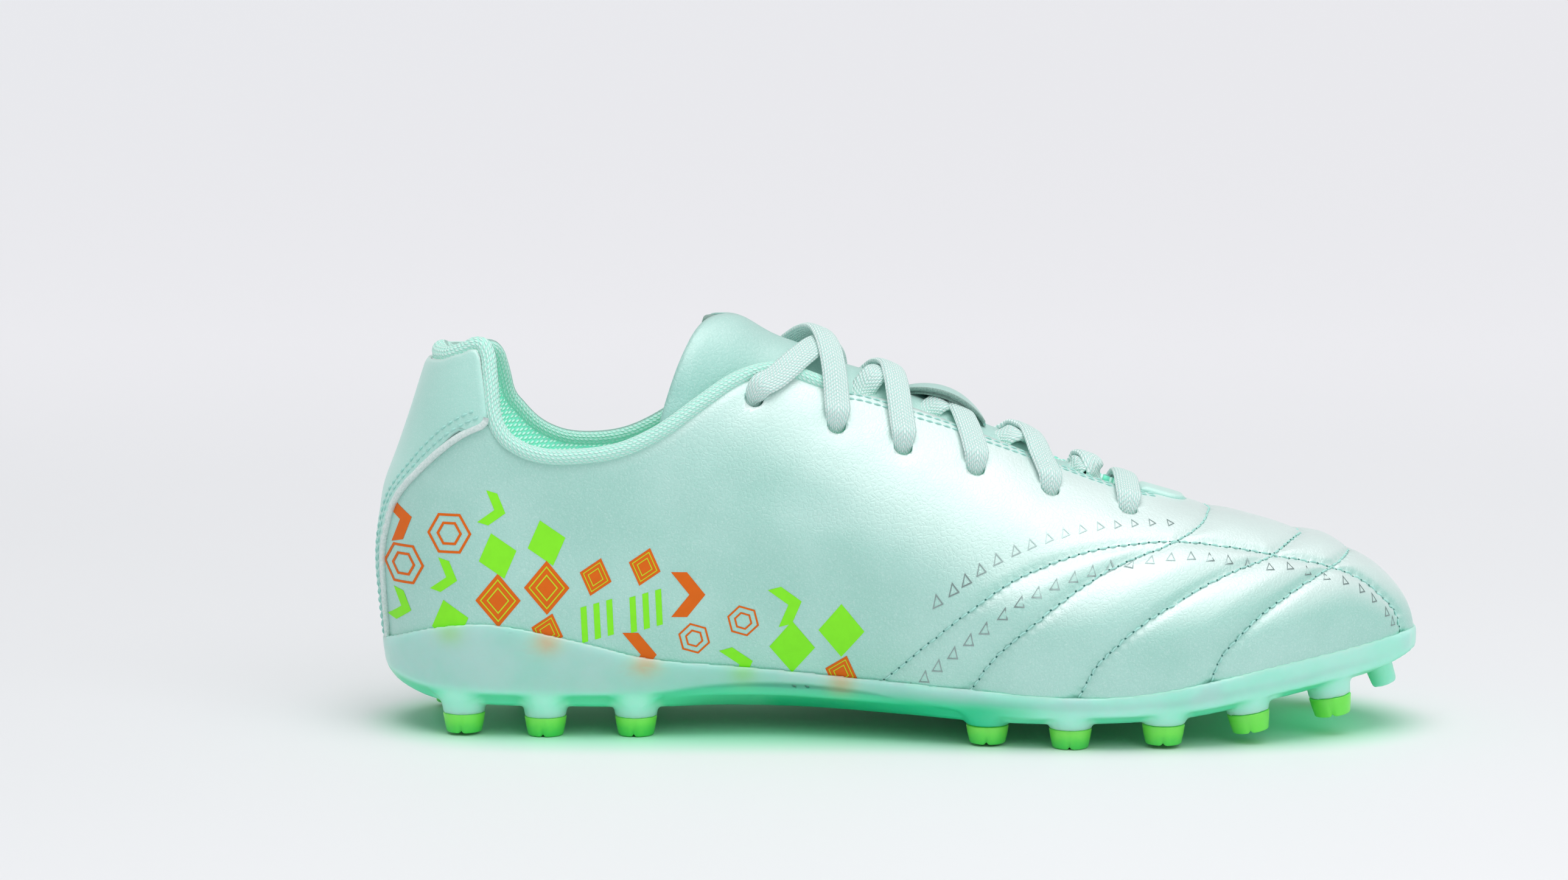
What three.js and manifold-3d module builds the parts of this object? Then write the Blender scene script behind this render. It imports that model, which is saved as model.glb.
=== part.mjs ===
// A studded football shoe for the left foot, empty and standing on its studs.
// Millimetres. +X runs from heel to toe, +Y to the outer side of the foot, +Z up.
// The origin lies on the ground, under the middle of the shoe.

import * as THREE from 'three';
import Module from 'manifold-3d';
import { mergeVertices } from 'three/addons/utils/BufferGeometryUtils.js';

const wasm = await Module();
wasm.setup();
const { Manifold, Mesh: SolidMesh } = wasm;

// Driving dimensions of the last, the form that the upper is pulled over
const LAST_LENGTH = 263.6;
const BALL_WIDTH = 92;
const INSTEP_HEIGHT = 90;
const HEEL_LEAN = 24;
const HEEL_LEAN_REACH = 70;
const HEEL_ROUND = 30;
const TOE_ROUND = 70;
const TOE_NOSE = 29;

// Upper and what is sewn to it
const UPPER_WALL = 2;
const LASTING_MARGIN = 8;
const EYELET_BORE = 4.4;
const COUNTER_WALL = 0.7;
const BINDING_RADIUS = 1.9;
const TONGUE_WALL = 3;
const TONGUE_OVERLAP = 9;
const INSOLE_THICKNESS = 3.4;
const LACE_WIDTH = 6;
const LACE_THICKNESS = 1.9;

// Outsole and studs
const PLATE_THICKNESS = 4;
const TOE_SPRING = 12;
const CUP_WALL = 1.3;
const CUP_RISE = 17;
const STEP_HEIGHT = 3.6;
const STEP_DEPTH = 1.6;
const STUD_LENGTH = 7.5;
const STUD_TIP_HEIGHT = 4.8;
const STUD_WIDTH = 10.6;
const STUD_TAPER = 0.86;
const STUD_FLARE = 3.4;
const STUD_EDGE_MARGIN = 0.7;
const TOE_STUD_WIDTH = 7.5;

// Clearances between pieces
const CUP_GAP = 0.25;
const SEAT_GAP = 0.3;
const TRIM_GAP = 0.15;
const TONGUE_GAP = 1.2;
const ROLL_GAP = 0.7;
const LEDGE = 0.15;
const WELD = 0.02;

// Last sections from heel to toe. `at` is a share of LAST_LENGTH, `middle`, `half`
// and `ridge` are shares of BALL_WIDTH, `wide` and `crest` shares of INSTEP_HEIGHT
// above the floor, `tuck` is the floor width as a share of `half`, `steep` and
// `full` shape the arch over the widest line.
const LAST = table(
  ['at', 'middle', 'half', 'tuck', 'wide', 'crest', 'ridge', 'steep', 'full'], [
    [0.00, 0.004, 0.310, 0.90, 0.29, 1.25, 0.005, 0.25, 0.70],
    [0.095, 0.005, 0.318, 0.90, 0.33, 1.29, 0.005, 0.25, 0.70],
    [0.19, 0.011, 0.339, 0.88, 0.34, 1.19, 0.009, 0.38, 0.74],
    [0.285, 0.020, 0.356, 0.85, 0.36, 1.07, 0.011, 0.40, 0.66],
    [0.39, 0.033, 0.386, 0.79, 0.38, 0.97, 0.000, 0.37, 0.52],
    [0.485, 0.033, 0.435, 0.84, 0.32, 0.87, -0.011, 0.33, 0.42],
    [0.57, 0.022, 0.478, 0.91, 0.24, 0.775, -0.022, 0.33, 0.40],
    [0.645, 0.007, 0.497, 0.94, 0.20, 0.67, -0.033, 0.36, 0.44],
    [0.70, -0.002, 0.492, 0.95, 0.185, 0.605, -0.043, 0.39, 0.48],
    [0.775, -0.013, 0.461, 0.94, 0.18, 0.525, -0.054, 0.43, 0.54],
    [0.85, -0.018, 0.422, 0.93, 0.155, 0.425, -0.054, 0.47, 0.60],
    [0.93, -0.011, 0.370, 0.92, 0.12, 0.330, -0.049, 0.52, 0.64],
    [1.00, -0.043, 0.326, 0.90, 0.05, 0.222, -0.043, 0.55, 0.62],
  ]);

// Lean of the heel's back line. `height` is a share of INSTEP_HEIGHT above the
// ground, `lean` a share of HEEL_LEAN.
const HEEL_BACK = table(['height', 'lean'], [
  [0.13, 0.14],
  [0.22, 0.09],
  [0.30, 0.06],
  [0.37, 0.03],
  [0.46, 0.00],
  [0.56, 0.02],
  [0.61, 0.05],
  [0.67, 0.09],
  [0.77, 0.23],
  [0.875, 0.36],
  [0.98, 0.49],
  [1.08, 0.625],
  [1.42, 1.00],
]);

// Outsole sections. `lift` is a share of TOE_SPRING, `plate` of PLATE_THICKNESS,
// `rise` the cup wall's top above the floor as a share of CUP_RISE, `step` of
// STEP_HEIGHT, `recess`, `arch` and `outer` of STEP_DEPTH; `arch` is the foot's
// inner side and `outer` its outer side.
const SOLE = table(['at', 'lift', 'plate', 'rise', 'step', 'recess', 'arch', 'outer'], [
  [0.00, 0.34, 0.98, 0.42, 1.14, 0.4, 1.3, 1.3],
  [0.04, 0.12, 1.04, 0.80, 1.08, 0.9, 1.4, 1.4],
  [0.095, 0.04, 1.00, 1.02, 1.00, 1.0, 1.3, 1.3],
  [0.19, 0.00, 1.00, 0.83, 1.00, 1.0, 1.3, 1.3],
  [0.265, -0.02, 1.10, 0.54, 1.20, 1.0, 1.6, 1.4],
  [0.33, -0.06, 1.40, 0.40, 1.90, 0.4, 4.4, 2.4],
  [0.39, -0.10, 1.47, 0.33, 2.15, 0.4, 5.2, 2.8],
  [0.455, -0.12, 1.38, 0.29, 1.95, 0.4, 4.4, 2.4],
  [0.525, -0.12, 1.20, 0.28, 1.25, 0.7, 2.4, 1.6],
  [0.57, -0.12, 1.08, 0.27, 0.75, 1.0, 1.2, 1.2],
  [0.70, -0.09, 0.86, 0.24, 0.60, 1.0, 1.1, 1.1],
  [0.775, 0.00, 0.88, 0.32, 0.60, 1.0, 1.1, 1.1],
  [0.85, 0.26, 0.86, 0.37, 0.60, 1.0, 1.2, 1.2],
  [0.93, 0.52, 0.95, 0.34, 0.55, 1.0, 1.5, 1.5],
  [0.97, 0.70, 0.92, 0.32, 0.50, 1.0, 1.6, 1.6],
  [1.00, 0.97, 0.58, 0.25, 0.40, 1.0, 1.6, 1.6],
]);

// Upper's top edge, as the section's parameter from the floor 0 to the crest 1
const TOPLINE = table(['at', 'inner', 'outer'], [
  [0.000, 0.680, 0.680],
  [0.025, 0.686, 0.680],
  [0.050, 0.696, 0.680],
  [0.078, 0.690, 0.671],
  [0.090, 0.650, 0.642],
  [0.100, 0.607, 0.611],
  [0.113, 0.578, 0.590],
  [0.135, 0.553, 0.558],
  [0.165, 0.537, 0.532],
  [0.200, 0.537, 0.525],
  [0.245, 0.558, 0.545],
  [0.282, 0.602, 0.592],
  [0.320, 0.671, 0.664],
  [0.356, 0.747, 0.742],
  [0.382, 0.790, 0.787],
  [0.430, 0.804, 0.804],
  [0.450, 0.806, 0.806],
  [0.462, 0.832, 0.832],
  [0.500, 0.852, 0.852],
  [0.580, 0.876, 0.876],
  [0.650, 0.920, 0.920],
  [0.730, 0.935, 0.935],
  [0.752, 0.962, 0.962],
  [0.762, 1.000, 1.000],
]);
const THROAT_END = 0.762;
const BINDING_END = 0.425;

// Lower edge of the heel overlay, in the same parameter
const COUNTER = table(['at', 'edge'], [
  [0.000, 0.13],
  [0.004, 0.16],
  [0.0085, 0.31],
  [0.0105, 0.42],
  [0.016, 0.478],
  [0.030, 0.522],
  [0.050, 0.558],
  [0.074, 0.580],
  [0.098, 0.590],
]);

// Eyelets, the same on both sides
const EYELETS = table(['at', 'edge'], [
  [0.365, 0.705],
  [0.443, 0.708],
  [0.506, 0.722],
  [0.575, 0.748],
  [0.646, 0.786],
  [0.720, 0.808],
]);

// Studs. `at` is a share of LAST_LENGTH, `lift` the tip's height over the ground
// as a share of TOE_SPRING.
const STUDS = [
  { name: 'heel_inner_1', at: 0.075, side: -1, lift: 0.05 },
  { name: 'heel_inner_2', at: 0.163, side: -1, lift: 0 },
  { name: 'heel_inner_3', at: 0.252, side: -1, lift: 0 },
  { name: 'heel_outer_1', at: 0.046, side: 1, lift: 0.10 },
  { name: 'heel_outer_2', at: 0.142, side: 1, lift: 0 },
  { name: 'heel_outer_3', at: 0.246, side: 1, lift: 0 },
  { name: 'front_inner_1', at: 0.580, side: -1, lift: 0.04 },
  { name: 'front_inner_2', at: 0.660, side: -1, lift: 0 },
  { name: 'front_inner_3', at: 0.752, side: -1, lift: 0.07 },
  { name: 'front_inner_4', at: 0.840, side: -1, lift: 0.25 },
  { name: 'front_inner_5', at: 0.926, side: -1, lift: 0.42 },
  { name: 'front_outer_1', at: 0.596, side: 1, lift: 0.02 },
  { name: 'front_outer_2', at: 0.694, side: 1, lift: 0 },
  { name: 'front_outer_3', at: 0.777, side: 1, lift: 0.09 },
  { name: 'front_outer_4', at: 0.853, side: 1, lift: 0.26 },
  { name: 'front_outer_5', at: 0.928, side: 1, lift: 0.42 },
];
const TOE_STUD = { at: 0.972, lift: 0.52 };
const STANDING = 0.15;

// Stations along the last, closer together where it turns
const STATIONS = [
  0, 0.003, 0.01, 0.022, 0.04, 0.06, 0.076, 0.088, 0.1, 0.115, 0.14,
  0.175, 0.22, 0.265, 0.305, 0.345, 0.38, 0.42, 0.452, 0.466, 0.51,
  0.56, 0.61, 0.66, 0.71, 0.74, 0.756, 0.762, 0.8, 0.84, 0.88,
  0.915, 0.945, 0.967, 0.982, 0.992, 0.9975, 1,
];
const SHELL_LEVELS = 7;
const SOLE_LEVELS = [0, 0.12, 0.26, 0.5, 1];
const SLAB_STEPS = 22;
const WIDEST = 0.35;

// How finely round pieces are cut
const STUD_SIDES = 10;
const EYELET_SIDES = 8;
const BINDING_SIDES = 6;
const BINDING_STEPS = 42;
const LACE_STEPS = 8;

// Colours
const LOOKS = {
  sole: material(0x96e4cd, 0.35),
  tip: material(0x55d760, 0.3),
  upper: material(0xb9e8df, 0.42),
  counter: material(0xaee2d8, 0.6),
  binding: material(0xa8eed8, 0.85),
  tongue: material(0xb4e6dc, 0.5),
  lace: material(0xbeeee8, 0.8),
  insole: material(0x7fd9c0, 0.9),
};

function material(color, roughness) {
  return new THREE.MeshStandardMaterial({ color, roughness, metalness: 0 });
}

function table(names, rows) {
  return rows.map((row) => Object.fromEntries(names.map((name, i) => [name, row[i]])));
}

// Smooth curve through one column of a table
function column(rows, name, value, key = 'at') {
  const last = rows.length - 1;
  const at = THREE.MathUtils.clamp(value, rows[0][key], rows[last][key]);
  let k = 0;
  while (k < last - 1 && rows[k + 1][key] <= at) k += 1;
  const rise = (i) => (rows[i + 1][name] - rows[i][name]) / (rows[i + 1][key] - rows[i][key]);
  const slope = (i) => {
    if (i === 0) return rise(0);
    if (i === last) return rise(last - 1);
    const before = rows[i][key] - rows[i - 1][key];
    const after = rows[i + 1][key] - rows[i][key];
    return (rise(i - 1) * after + rise(i) * before) / (before + after);
  };
  const span = rows[k + 1][key] - rows[k][key];
  const t = (at - rows[k][key]) / span;
  const t2 = t * t;
  const t3 = t2 * t;
  return (2 * t3 - 3 * t2 + 1) * rows[k][name] + (t3 - 2 * t2 + t) * slope(k) * span
    + (3 * t2 - 2 * t3) * rows[k + 1][name] + (t3 - t2) * slope(k + 1) * span;
}

function straight(rows, name, value) {
  const last = rows.length - 1;
  const at = THREE.MathUtils.clamp(value, rows[0].at, rows[last].at);
  let k = 0;
  while (k < last - 1 && rows[k + 1].at <= at) k += 1;
  const t = (at - rows[k].at) / (rows[k + 1].at - rows[k].at);
  return THREE.MathUtils.lerp(rows[k][name], rows[k + 1][name], t);
}

// Heights of the sole along the shoe
function plateBottom(at) {
  return STUD_LENGTH + TOE_SPRING * column(SOLE, 'lift', at);
}

function floorHeight(at) {
  return plateBottom(at) + PLATE_THICKNESS * column(SOLE, 'plate', at);
}

function cupTop(at) {
  return floorHeight(at) + CUP_RISE * column(SOLE, 'rise', at);
}

function stepTop(at) {
  return plateBottom(at) + STEP_HEIGHT * column(SOLE, 'step', at);
}

// How far a section has grown from a rounded end, from 0 to 1
function grown(distance, radius, power) {
  if (distance >= radius) return 1;
  return Math.max(0, 1 - ((radius - distance) / radius) ** power) ** (1 / power);
}

function bezier(a, b, c, d, t) {
  const s = 1 - t;
  return s * s * s * a + 3 * s * s * t * b + 3 * s * t * t * c + t * t * t * d;
}

// A point of the last: side -1 is the foot's inner side, t runs from floor to crest
function lastPoint(at, side, t) {
  const x = at * LAST_LENGTH;
  const round = grown(x, HEEL_ROUND, 2.1) * grown(LAST_LENGTH - x, TOE_ROUND, 2.3);
  const nose = grown(LAST_LENGTH - x, TOE_NOSE, 2.6);
  const middle = BALL_WIDTH * column(LAST, 'middle', at);
  const half = BALL_WIDTH * column(LAST, 'half', at) * round;
  const foot = floorHeight(at);
  const wide = foot + INSTEP_HEIGHT * column(LAST, 'wide', at) * nose;
  const crest = foot + INSTEP_HEIGHT * column(LAST, 'crest', at) * nose;
  const ridge = middle + (BALL_WIDTH * column(LAST, 'ridge', at) - middle) * round;
  const floorHalf = half * column(LAST, 'tuck', at);
  let y;
  let z;
  if (t < WIDEST) {
    const s = t / WIDEST;
    const up = wide - foot;
    const out = half - floorHalf;
    y = middle + side * bezier(floorHalf, floorHalf + 0.7 * out, half, half, s);
    z = bezier(foot, foot + 0.3 * up, wide - 0.4 * up, wide, s);
  } else {
    const s = (t - WIDEST) / (1 - WIDEST);
    const up = crest - wide;
    const edge = middle + side * half;
    const full = ridge + (edge - ridge) * column(LAST, 'full', at);
    y = bezier(edge, edge, full, ridge, s);
    z = bezier(wide, wide + up * column(LAST, 'steep', at), crest, crest, s);
  }
  const fade = Math.max(0, 1 - x / HEEL_LEAN_REACH) ** 2;
  const lean = HEEL_LEAN * column(HEEL_BACK, 'lean', z / INSTEP_HEIGHT, 'height');
  return new THREE.Vector3(x + lean * fade, y, z);
}

function lastNormal(at, side, t) {
  const step = 0.002;
  const a = THREE.MathUtils.clamp(at, step, 1 - 2 * step);
  const b = THREE.MathUtils.clamp(t, step, 1 - step);
  const along = lastPoint(a + step, side, b).sub(lastPoint(a - step, side, b));
  const up = lastPoint(a, side, b + step).sub(lastPoint(a, side, b - step));
  return along.cross(up).multiplyScalar(-side).normalize();
}

function onLast(at, side, t, out = 0) {
  return lastPoint(at, side, t).addScaledVector(lastNormal(at, side, t), out);
}

function topEdge(at, side) {
  if (at >= THROAT_END) return 1;
  return straight(TOPLINE, side < 0 ? 'inner' : 'outer', at);
}

// Closed rings round the last: inner side from heel to toe, outer side back again
function ring(pointAt) {
  const inner = STATIONS.map((at, i) => pointAt(at, -1, i));
  const outer = STATIONS.map((at, i) => pointAt(at, 1, i));
  return { inner, outer };
}

// Collects faces whose equal corners become one
class Skin {
  constructor() {
    this.points = [];
    this.faces = [];
    this.known = new Map();
  }

  corner(p) {
    const key = [p.x, p.y, p.z].map((v) => Math.round(v * 2000)).join();
    if (!this.known.has(key)) {
      this.known.set(key, this.points.length);
      this.points.push(p.clone());
    }
    return this.known.get(key);
  }

  face(a, b, c) {
    const corners = [a, b, c].map((p) => this.corner(p));
    if (new Set(corners).size === 3) this.faces.push(corners);
  }

  quad(a, b, c, d) {
    if (a.distanceTo(c) <= b.distanceTo(d)) {
      this.face(a, b, c);
      this.face(a, c, d);
    } else {
      this.face(a, b, d);
      this.face(b, c, d);
    }
  }

  strip(lower, upper) {
    for (let i = 0; i + 1 < lower.length; i += 1) {
      this.quad(lower[i], lower[i + 1], upper[i + 1], upper[i]);
    }
  }

  // The same faces pushed out along their corners' normals, with full wall at edges
  pushed(distance) {
    const normals = this.points.map(() => new THREE.Vector3());
    const flat = this.faces.map(([a, b, c]) => {
      const ab = this.points[b].clone().sub(this.points[a]);
      const ac = this.points[c].clone().sub(this.points[a]);
      return ab.cross(ac).normalize();
    });
    this.faces.forEach((face, f) => face.forEach((i) => normals[i].add(flat[f])));
    normals.forEach((n) => n.normalize());
    const least = normals.map(() => 1);
    this.faces.forEach((face, f) => face.forEach((i) => {
      least[i] = Math.min(least[i], Math.max(0.6, normals[i].dot(flat[f])));
    }));
    return this.points.map((p, i) => p.clone().addScaledVector(normals[i], distance / least[i]));
  }

  // Turns all faces so that they look away from the middle of the foot
  faceOutward() {
    const middle = new THREE.Vector3(LAST_LENGTH / 2, 0, INSTEP_HEIGHT / 2);
    const sum = this.faces.reduce((total, [a, b, c]) => {
      const [p, q, r] = [a, b, c].map((i) => this.points[i].clone().sub(middle));
      return total + p.dot(q.cross(r));
    }, 0);
    if (sum < 0) this.faces = this.faces.map(([a, b, c]) => [a, c, b]);
  }

  solid() {
    const vertProperties = new Float32Array(this.points.flatMap((p) => [p.x, p.y, p.z]));
    const made = (faces) => new Manifold(new SolidMesh({
      numProp: 3, vertProperties, triVerts: new Uint32Array(faces.flat()),
    }));
    const first = made(this.faces);
    if (first.volume() > 0) return first;
    return made(this.faces.map(([a, b, c]) => [a, c, b]));
  }
}

function ringsBetween(skin, rings) {
  for (let j = 0; j + 1 < rings.length; j += 1) {
    skin.strip(rings[j].inner, rings[j + 1].inner);
    skin.strip(rings[j + 1].outer, rings[j].outer);
  }
}

function solidFromRings(rings) {
  const skin = new Skin();
  const first = rings[0];
  const last = rings[rings.length - 1];
  ringsBetween(skin, rings);
  skin.strip(first.outer, first.inner);
  skin.strip(last.inner, last.outer);
  return skin;
}

// A solid's mesh, with corners closer than WELD made one and flat faces dropped
function geometryOf(solid) {
  const mesh = solid.getMesh();
  const count = mesh.vertProperties.length / 3;
  const points = Array.from({ length: count }, (_, i) => (
    new THREE.Vector3().fromArray(mesh.vertProperties, 3 * i)));
  const order = points.map((_, i) => i).sort((a, b) => points[a].x - points[b].x);
  const same = points.map((_, i) => i);
  const root = (i) => (same[i] === i ? i : root(same[i]));
  order.forEach((i, k) => {
    for (let n = k + 1; n < count && points[order[n]].x - points[i].x < WELD; n += 1) {
      if (points[order[n]].distanceTo(points[i]) < WELD) same[root(order[n])] = root(i);
    }
  });
  const faces = new Map();
  for (let f = 0; f < mesh.triVerts.length; f += 3) {
    const face = [0, 1, 2].map((k) => root(mesh.triVerts[f + k]));
    const key = [...face].sort((a, b) => a - b).join();
    if (new Set(face).size < 3) continue;
    if (faces.has(key)) faces.delete(key);
    else faces.set(key, face);
  }
  const geometry = new THREE.BufferGeometry();
  geometry.setAttribute('position', new THREE.BufferAttribute(
    new Float32Array(points.flatMap((p) => p.toArray())), 3));
  geometry.setIndex([...faces.values()].flat());
  return geometry;
}

function solidOf(source) {
  const plain = source.index ? source.toNonIndexed() : source.clone();
  plain.deleteAttribute('normal');
  plain.deleteAttribute('uv');
  const merged = mergeVertices(plain, 1e-4);
  return new Manifold(new SolidMesh({
    numProp: 3,
    vertProperties: new Float32Array(merged.attributes.position.array),
    triVerts: new Uint32Array(merged.index.array),
  }));
}

// The whole last as one closed solid, `out` millimetres larger all round
function lastSolid(out) {
  const skin = solidFromRings(SOLE_LEVELS.map((t) => ring((at, side) => lastPoint(at, side, t))));
  skin.faceOutward();
  skin.points = skin.pushed(out);
  return skin.solid();
}

// Upper: one wall, open at collar and throat and under the foot
function upperSolid() {
  const rings = [ring((at, side, i) => lastingEdge(i, side))];
  for (let j = 0; j < SHELL_LEVELS; j += 1) {
    rings.push(ring((at, side) => lastPoint(at, side, topEdge(at, side) * j / (SHELL_LEVELS - 1))));
  }
  const skin = new Skin();
  ringsBetween(skin, rings);
  const holes = EYELETS.flatMap((row) => [punch(row, -1), punch(row, 1)]);
  return holes.reduce((left, hole) => left.subtract(hole), thickened(skin, -UPPER_WALL, 0));
}

// Edges that belong to one face only
function openEdges(faces) {
  const edges = new Map();
  faces.forEach(([a, b, c]) => [[a, b], [b, c], [c, a]].forEach(([p, q]) => {
    const key = [Math.min(p, q), Math.max(p, q)].join();
    if (edges.has(key)) edges.set(key, null);
    else edges.set(key, [p, q]);
  }));
  return [...edges.values()].filter(Boolean);
}

// Outline of the floor, moved outward in plan
function outline(i, side, out) {
  const at = (k) => lastPoint(STATIONS[k], side, 0);
  const here = at(i);
  const other = lastPoint(STATIONS[i], -side, 0);
  const onFloor = (p) => {
    const shift = (p.x - at(i).x) / LAST_LENGTH;
    return p.setZ(floorHeight(STATIONS[i] + shift));
  };
  const end = i === 0 || i === STATIONS.length - 1;
  if (end) return onFloor(here.add(new THREE.Vector3(i === 0 ? -out : out, 0, 0)));
  const along = at(i + 1).sub(at(i - 1)).setZ(0).normalize();
  const normal = new THREE.Vector3(-along.y, along.x, 0).multiplyScalar(side);
  const room = Math.abs(here.y - other.y) / 2;
  const move = Math.max(out, -0.9 * room / Math.max(Math.abs(normal.y), 0.05));
  return onFloor(here.addScaledVector(normal, move));
}

function lastingEdge(i, side) {
  return outline(i, side, -LASTING_MARGIN);
}

// A short rod through the wall at an eyelet
function punch(row, side) {
  const rod = new THREE.CylinderGeometry(EYELET_BORE / 2, EYELET_BORE / 2, 6 * UPPER_WALL, EYELET_SIDES);
  const normal = lastNormal(row.at, side, row.edge);
  rod.applyQuaternion(new THREE.Quaternion().setFromUnitVectors(new THREE.Vector3(0, 1, 0), normal));
  const centre = lastPoint(row.at, side, row.edge);
  rod.translate(centre.x, centre.y, centre.z);
  return solidOf(rod);
}

// A slab seen from the side: between two lines over x, right through the shoe
function sideSlab(lowerLine, upperLine) {
  const margin = 4 * CUP_WALL;
  const marks = Array.from({ length: SLAB_STEPS + 1 }, (_, k) => {
    const share = 0.5 - 0.5 * Math.cos(Math.PI * k / SLAB_STEPS);
    return THREE.MathUtils.lerp(-margin, LAST_LENGTH + margin, share);
  });
  const shape = new THREE.Shape([
    ...marks.map((x) => new THREE.Vector2(x, lowerLine(x / LAST_LENGTH))),
    ...marks.reverse().map((x) => new THREE.Vector2(x, upperLine(x / LAST_LENGTH))),
  ]);
  const slab = new THREE.ExtrudeGeometry(shape, { depth: 2 * BALL_WIDTH, bevelEnabled: false });
  slab.rotateX(Math.PI / 2);
  slab.translate(0, BALL_WIDTH, 0);
  return solidOf(slab);
}

// Outsole: plate, cup wall round the upper and the feet of the studs
function plateSolid() {
  const reach = CUP_WALL + CUP_GAP;
  const depth = (at, side) => STEP_DEPTH * column(SOLE, side < 0 ? 'arch' : 'outer', at);
  const level = (out, height) => ring((at, side, i) => outline(i, side, out(at, side)).setZ(height(at)));
  const rings = [
    level((at, side) => reach - depth(at, side) - STEP_DEPTH, (at) => plateBottom(at)),
    level((at, side) => reach - depth(at, side), (at) => plateBottom(at) + 0.22 * STEP_HEIGHT),
    level((at) => reach - STEP_DEPTH * column(SOLE, 'recess', at),
      (at) => Math.min(stepTop(at) - 0.12 * STEP_HEIGHT, floorHeight(at) - CUP_WALL)),
    level(() => reach - LEDGE, (at) => stepTop(at)),
  ];
  return solidFromRings(rings).solid();
}

function studCentre(stud, width) {
  const place = (at) => lastPoint(at, stud.side, 0);
  const step = 0.004;
  const along = place(stud.at + step).sub(place(stud.at - step)).setZ(0).normalize();
  const inward = new THREE.Vector3(-along.y, along.x, 0).multiplyScalar(-stud.side);
  const inset = width / 2 + STUD_EDGE_MARGIN - CUP_WALL;
  return place(stud.at).addScaledVector(inward, inset).setZ(0);
}

// Round frustum along the stud's own axis, turned with the plate
function studPart(stud, centre, profile) {
  const lathe = new THREE.LatheGeometry(profile.map(([r, h]) => new THREE.Vector2(r, h)), STUD_SIDES);
  lathe.rotateX(Math.PI / 2);
  const step = 0.02;
  const slope = (plateBottom(stud.at + step) - plateBottom(stud.at - step)) / (2 * step * LAST_LENGTH);
  if (stud.lift > STANDING) lathe.rotateY(-Math.atan(slope));
  lathe.translate(centre.x, centre.y, TOE_SPRING * stud.lift);
  return solidOf(lathe);
}

function studFoot(stud, centre, radius) {
  const under = plateBottom(stud.at) - TOE_SPRING * stud.lift;
  const joint = Math.min(STUD_TIP_HEIGHT, 0.8 * under);
  return studPart(stud, centre, [
    [0, joint + TRIM_GAP / 2],
    [radius, joint + TRIM_GAP / 2],
    [radius * 1.04, under - 0.2 * STUD_FLARE],
    [radius + STUD_FLARE, under + STUD_FLARE],
    [0, under + STUD_FLARE],
  ]);
}

function studTip(stud, centre) {
  const radius = STUD_WIDTH / 2;
  const under = plateBottom(stud.at) - TOE_SPRING * stud.lift;
  const joint = Math.min(STUD_TIP_HEIGHT, 0.8 * under);
  return studPart(stud, centre, [
    [0, 0],
    [radius * STUD_TAPER - 0.6, 0],
    [radius * STUD_TAPER, 0.6],
    [radius, joint - TRIM_GAP / 2],
    [0, joint - TRIM_GAP / 2],
  ]);
}

function toeStud() {
  const place = { ...TOE_STUD, side: -1 };
  const centre = lastPoint(TOE_STUD.at, -1, 0).setY(BALL_WIDTH * column(LAST, 'middle', TOE_STUD.at));
  const radius = TOE_STUD_WIDTH / 2;
  const under = plateBottom(TOE_STUD.at) - TOE_SPRING * TOE_STUD.lift;
  return studPart(place, centre.setZ(0), [
    [0, 0],
    [radius * STUD_TAPER - 0.4, 0],
    [radius * STUD_TAPER, 0.4],
    [radius, under],
    [radius + 0.6 * STUD_FLARE, under + 0.8 * STUD_FLARE],
    [0, under + 0.8 * STUD_FLARE],
  ]);
}

function outsoleSolid() {
  const reach = CUP_WALL + CUP_GAP;
  const band = sideSlab((at) => stepTop(at) - 0.1 * STEP_HEIGHT, cupTop);
  const wall = lastSolid(reach).intersect(band);
  const skirt = solidFromRings([
    ring((at, side, i) => outline(i, side, reach - 2 * LEDGE).setZ(-STUD_LENGTH)),
    ring((at, side, i) => outline(i, side, reach - 2 * LEDGE).setZ(floorHeight(at))),
  ]).solid();
  const feet = STUDS.map((stud) => studFoot(stud, studCentre(stud, STUD_WIDTH), STUD_WIDTH / 2));
  const studs = [...feet, toeStud()].reduce((all, one) => all.add(one)).intersect(skirt);
  return plateSolid().add(wall).add(studs).subtract(lastSolid(CUP_GAP));
}

// Insole, lying on the turned-in edge of the upper
function insoleSolid() {
  const low = UPPER_WALL + 2 * SEAT_GAP;
  const toe = (at) => INSOLE_THICKNESS * THREE.MathUtils.smoothstep(at, 0.75, 1);
  const inset = (at) => -(UPPER_WALL + 2 * SEAT_GAP + 1.2 * toe(at));
  return solidFromRings([
    ring((at, side, i) => raised(outline(i, side, inset(at)), low)),
    ring((at, side, i) => raised(outline(i, side, inset(at)), low + INSOLE_THICKNESS)),
  ]).solid();
}

function raised(p, up) {
  return p.setZ(p.z + up);
}

// Heel overlay: a thin cap that follows the last from the cup wall to the collar
function counterSolid() {
  const stations = [0, 0.003, 0.0065, 0.0085, 0.01, 0.014, 0.022, 0.04, 0.06, 0.076, 0.088, 0.097];
  const rows = 5;
  const low = (at) => straight(COUNTER, 'edge', at);
  const line = (at, side) => {
    const top = topEdge(at, side) - 0.004;
    const bottom = Math.min(low(at), top - 0.01);
    return Array.from({ length: rows + 1 }, (_, j) => THREE.MathUtils.lerp(bottom, top, j / rows));
  };
  const columns = [
    ...stations.slice(1).reverse().map((at) => ({ at, side: -1 })),
    { at: 0, side: -1 },
    ...stations.slice(1).map((at) => ({ at, side: 1 })),
  ];
  const skin = new Skin();
  const grid = columns.map(({ at, side }) => line(at, side).map((t) => lastPoint(at, side, t)));
  for (let i = 0; i + 1 < grid.length; i += 1) skin.strip(grid[i], grid[i + 1]);
  return thickened(skin, SEAT_GAP, SEAT_GAP + COUNTER_WALL);
}

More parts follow.
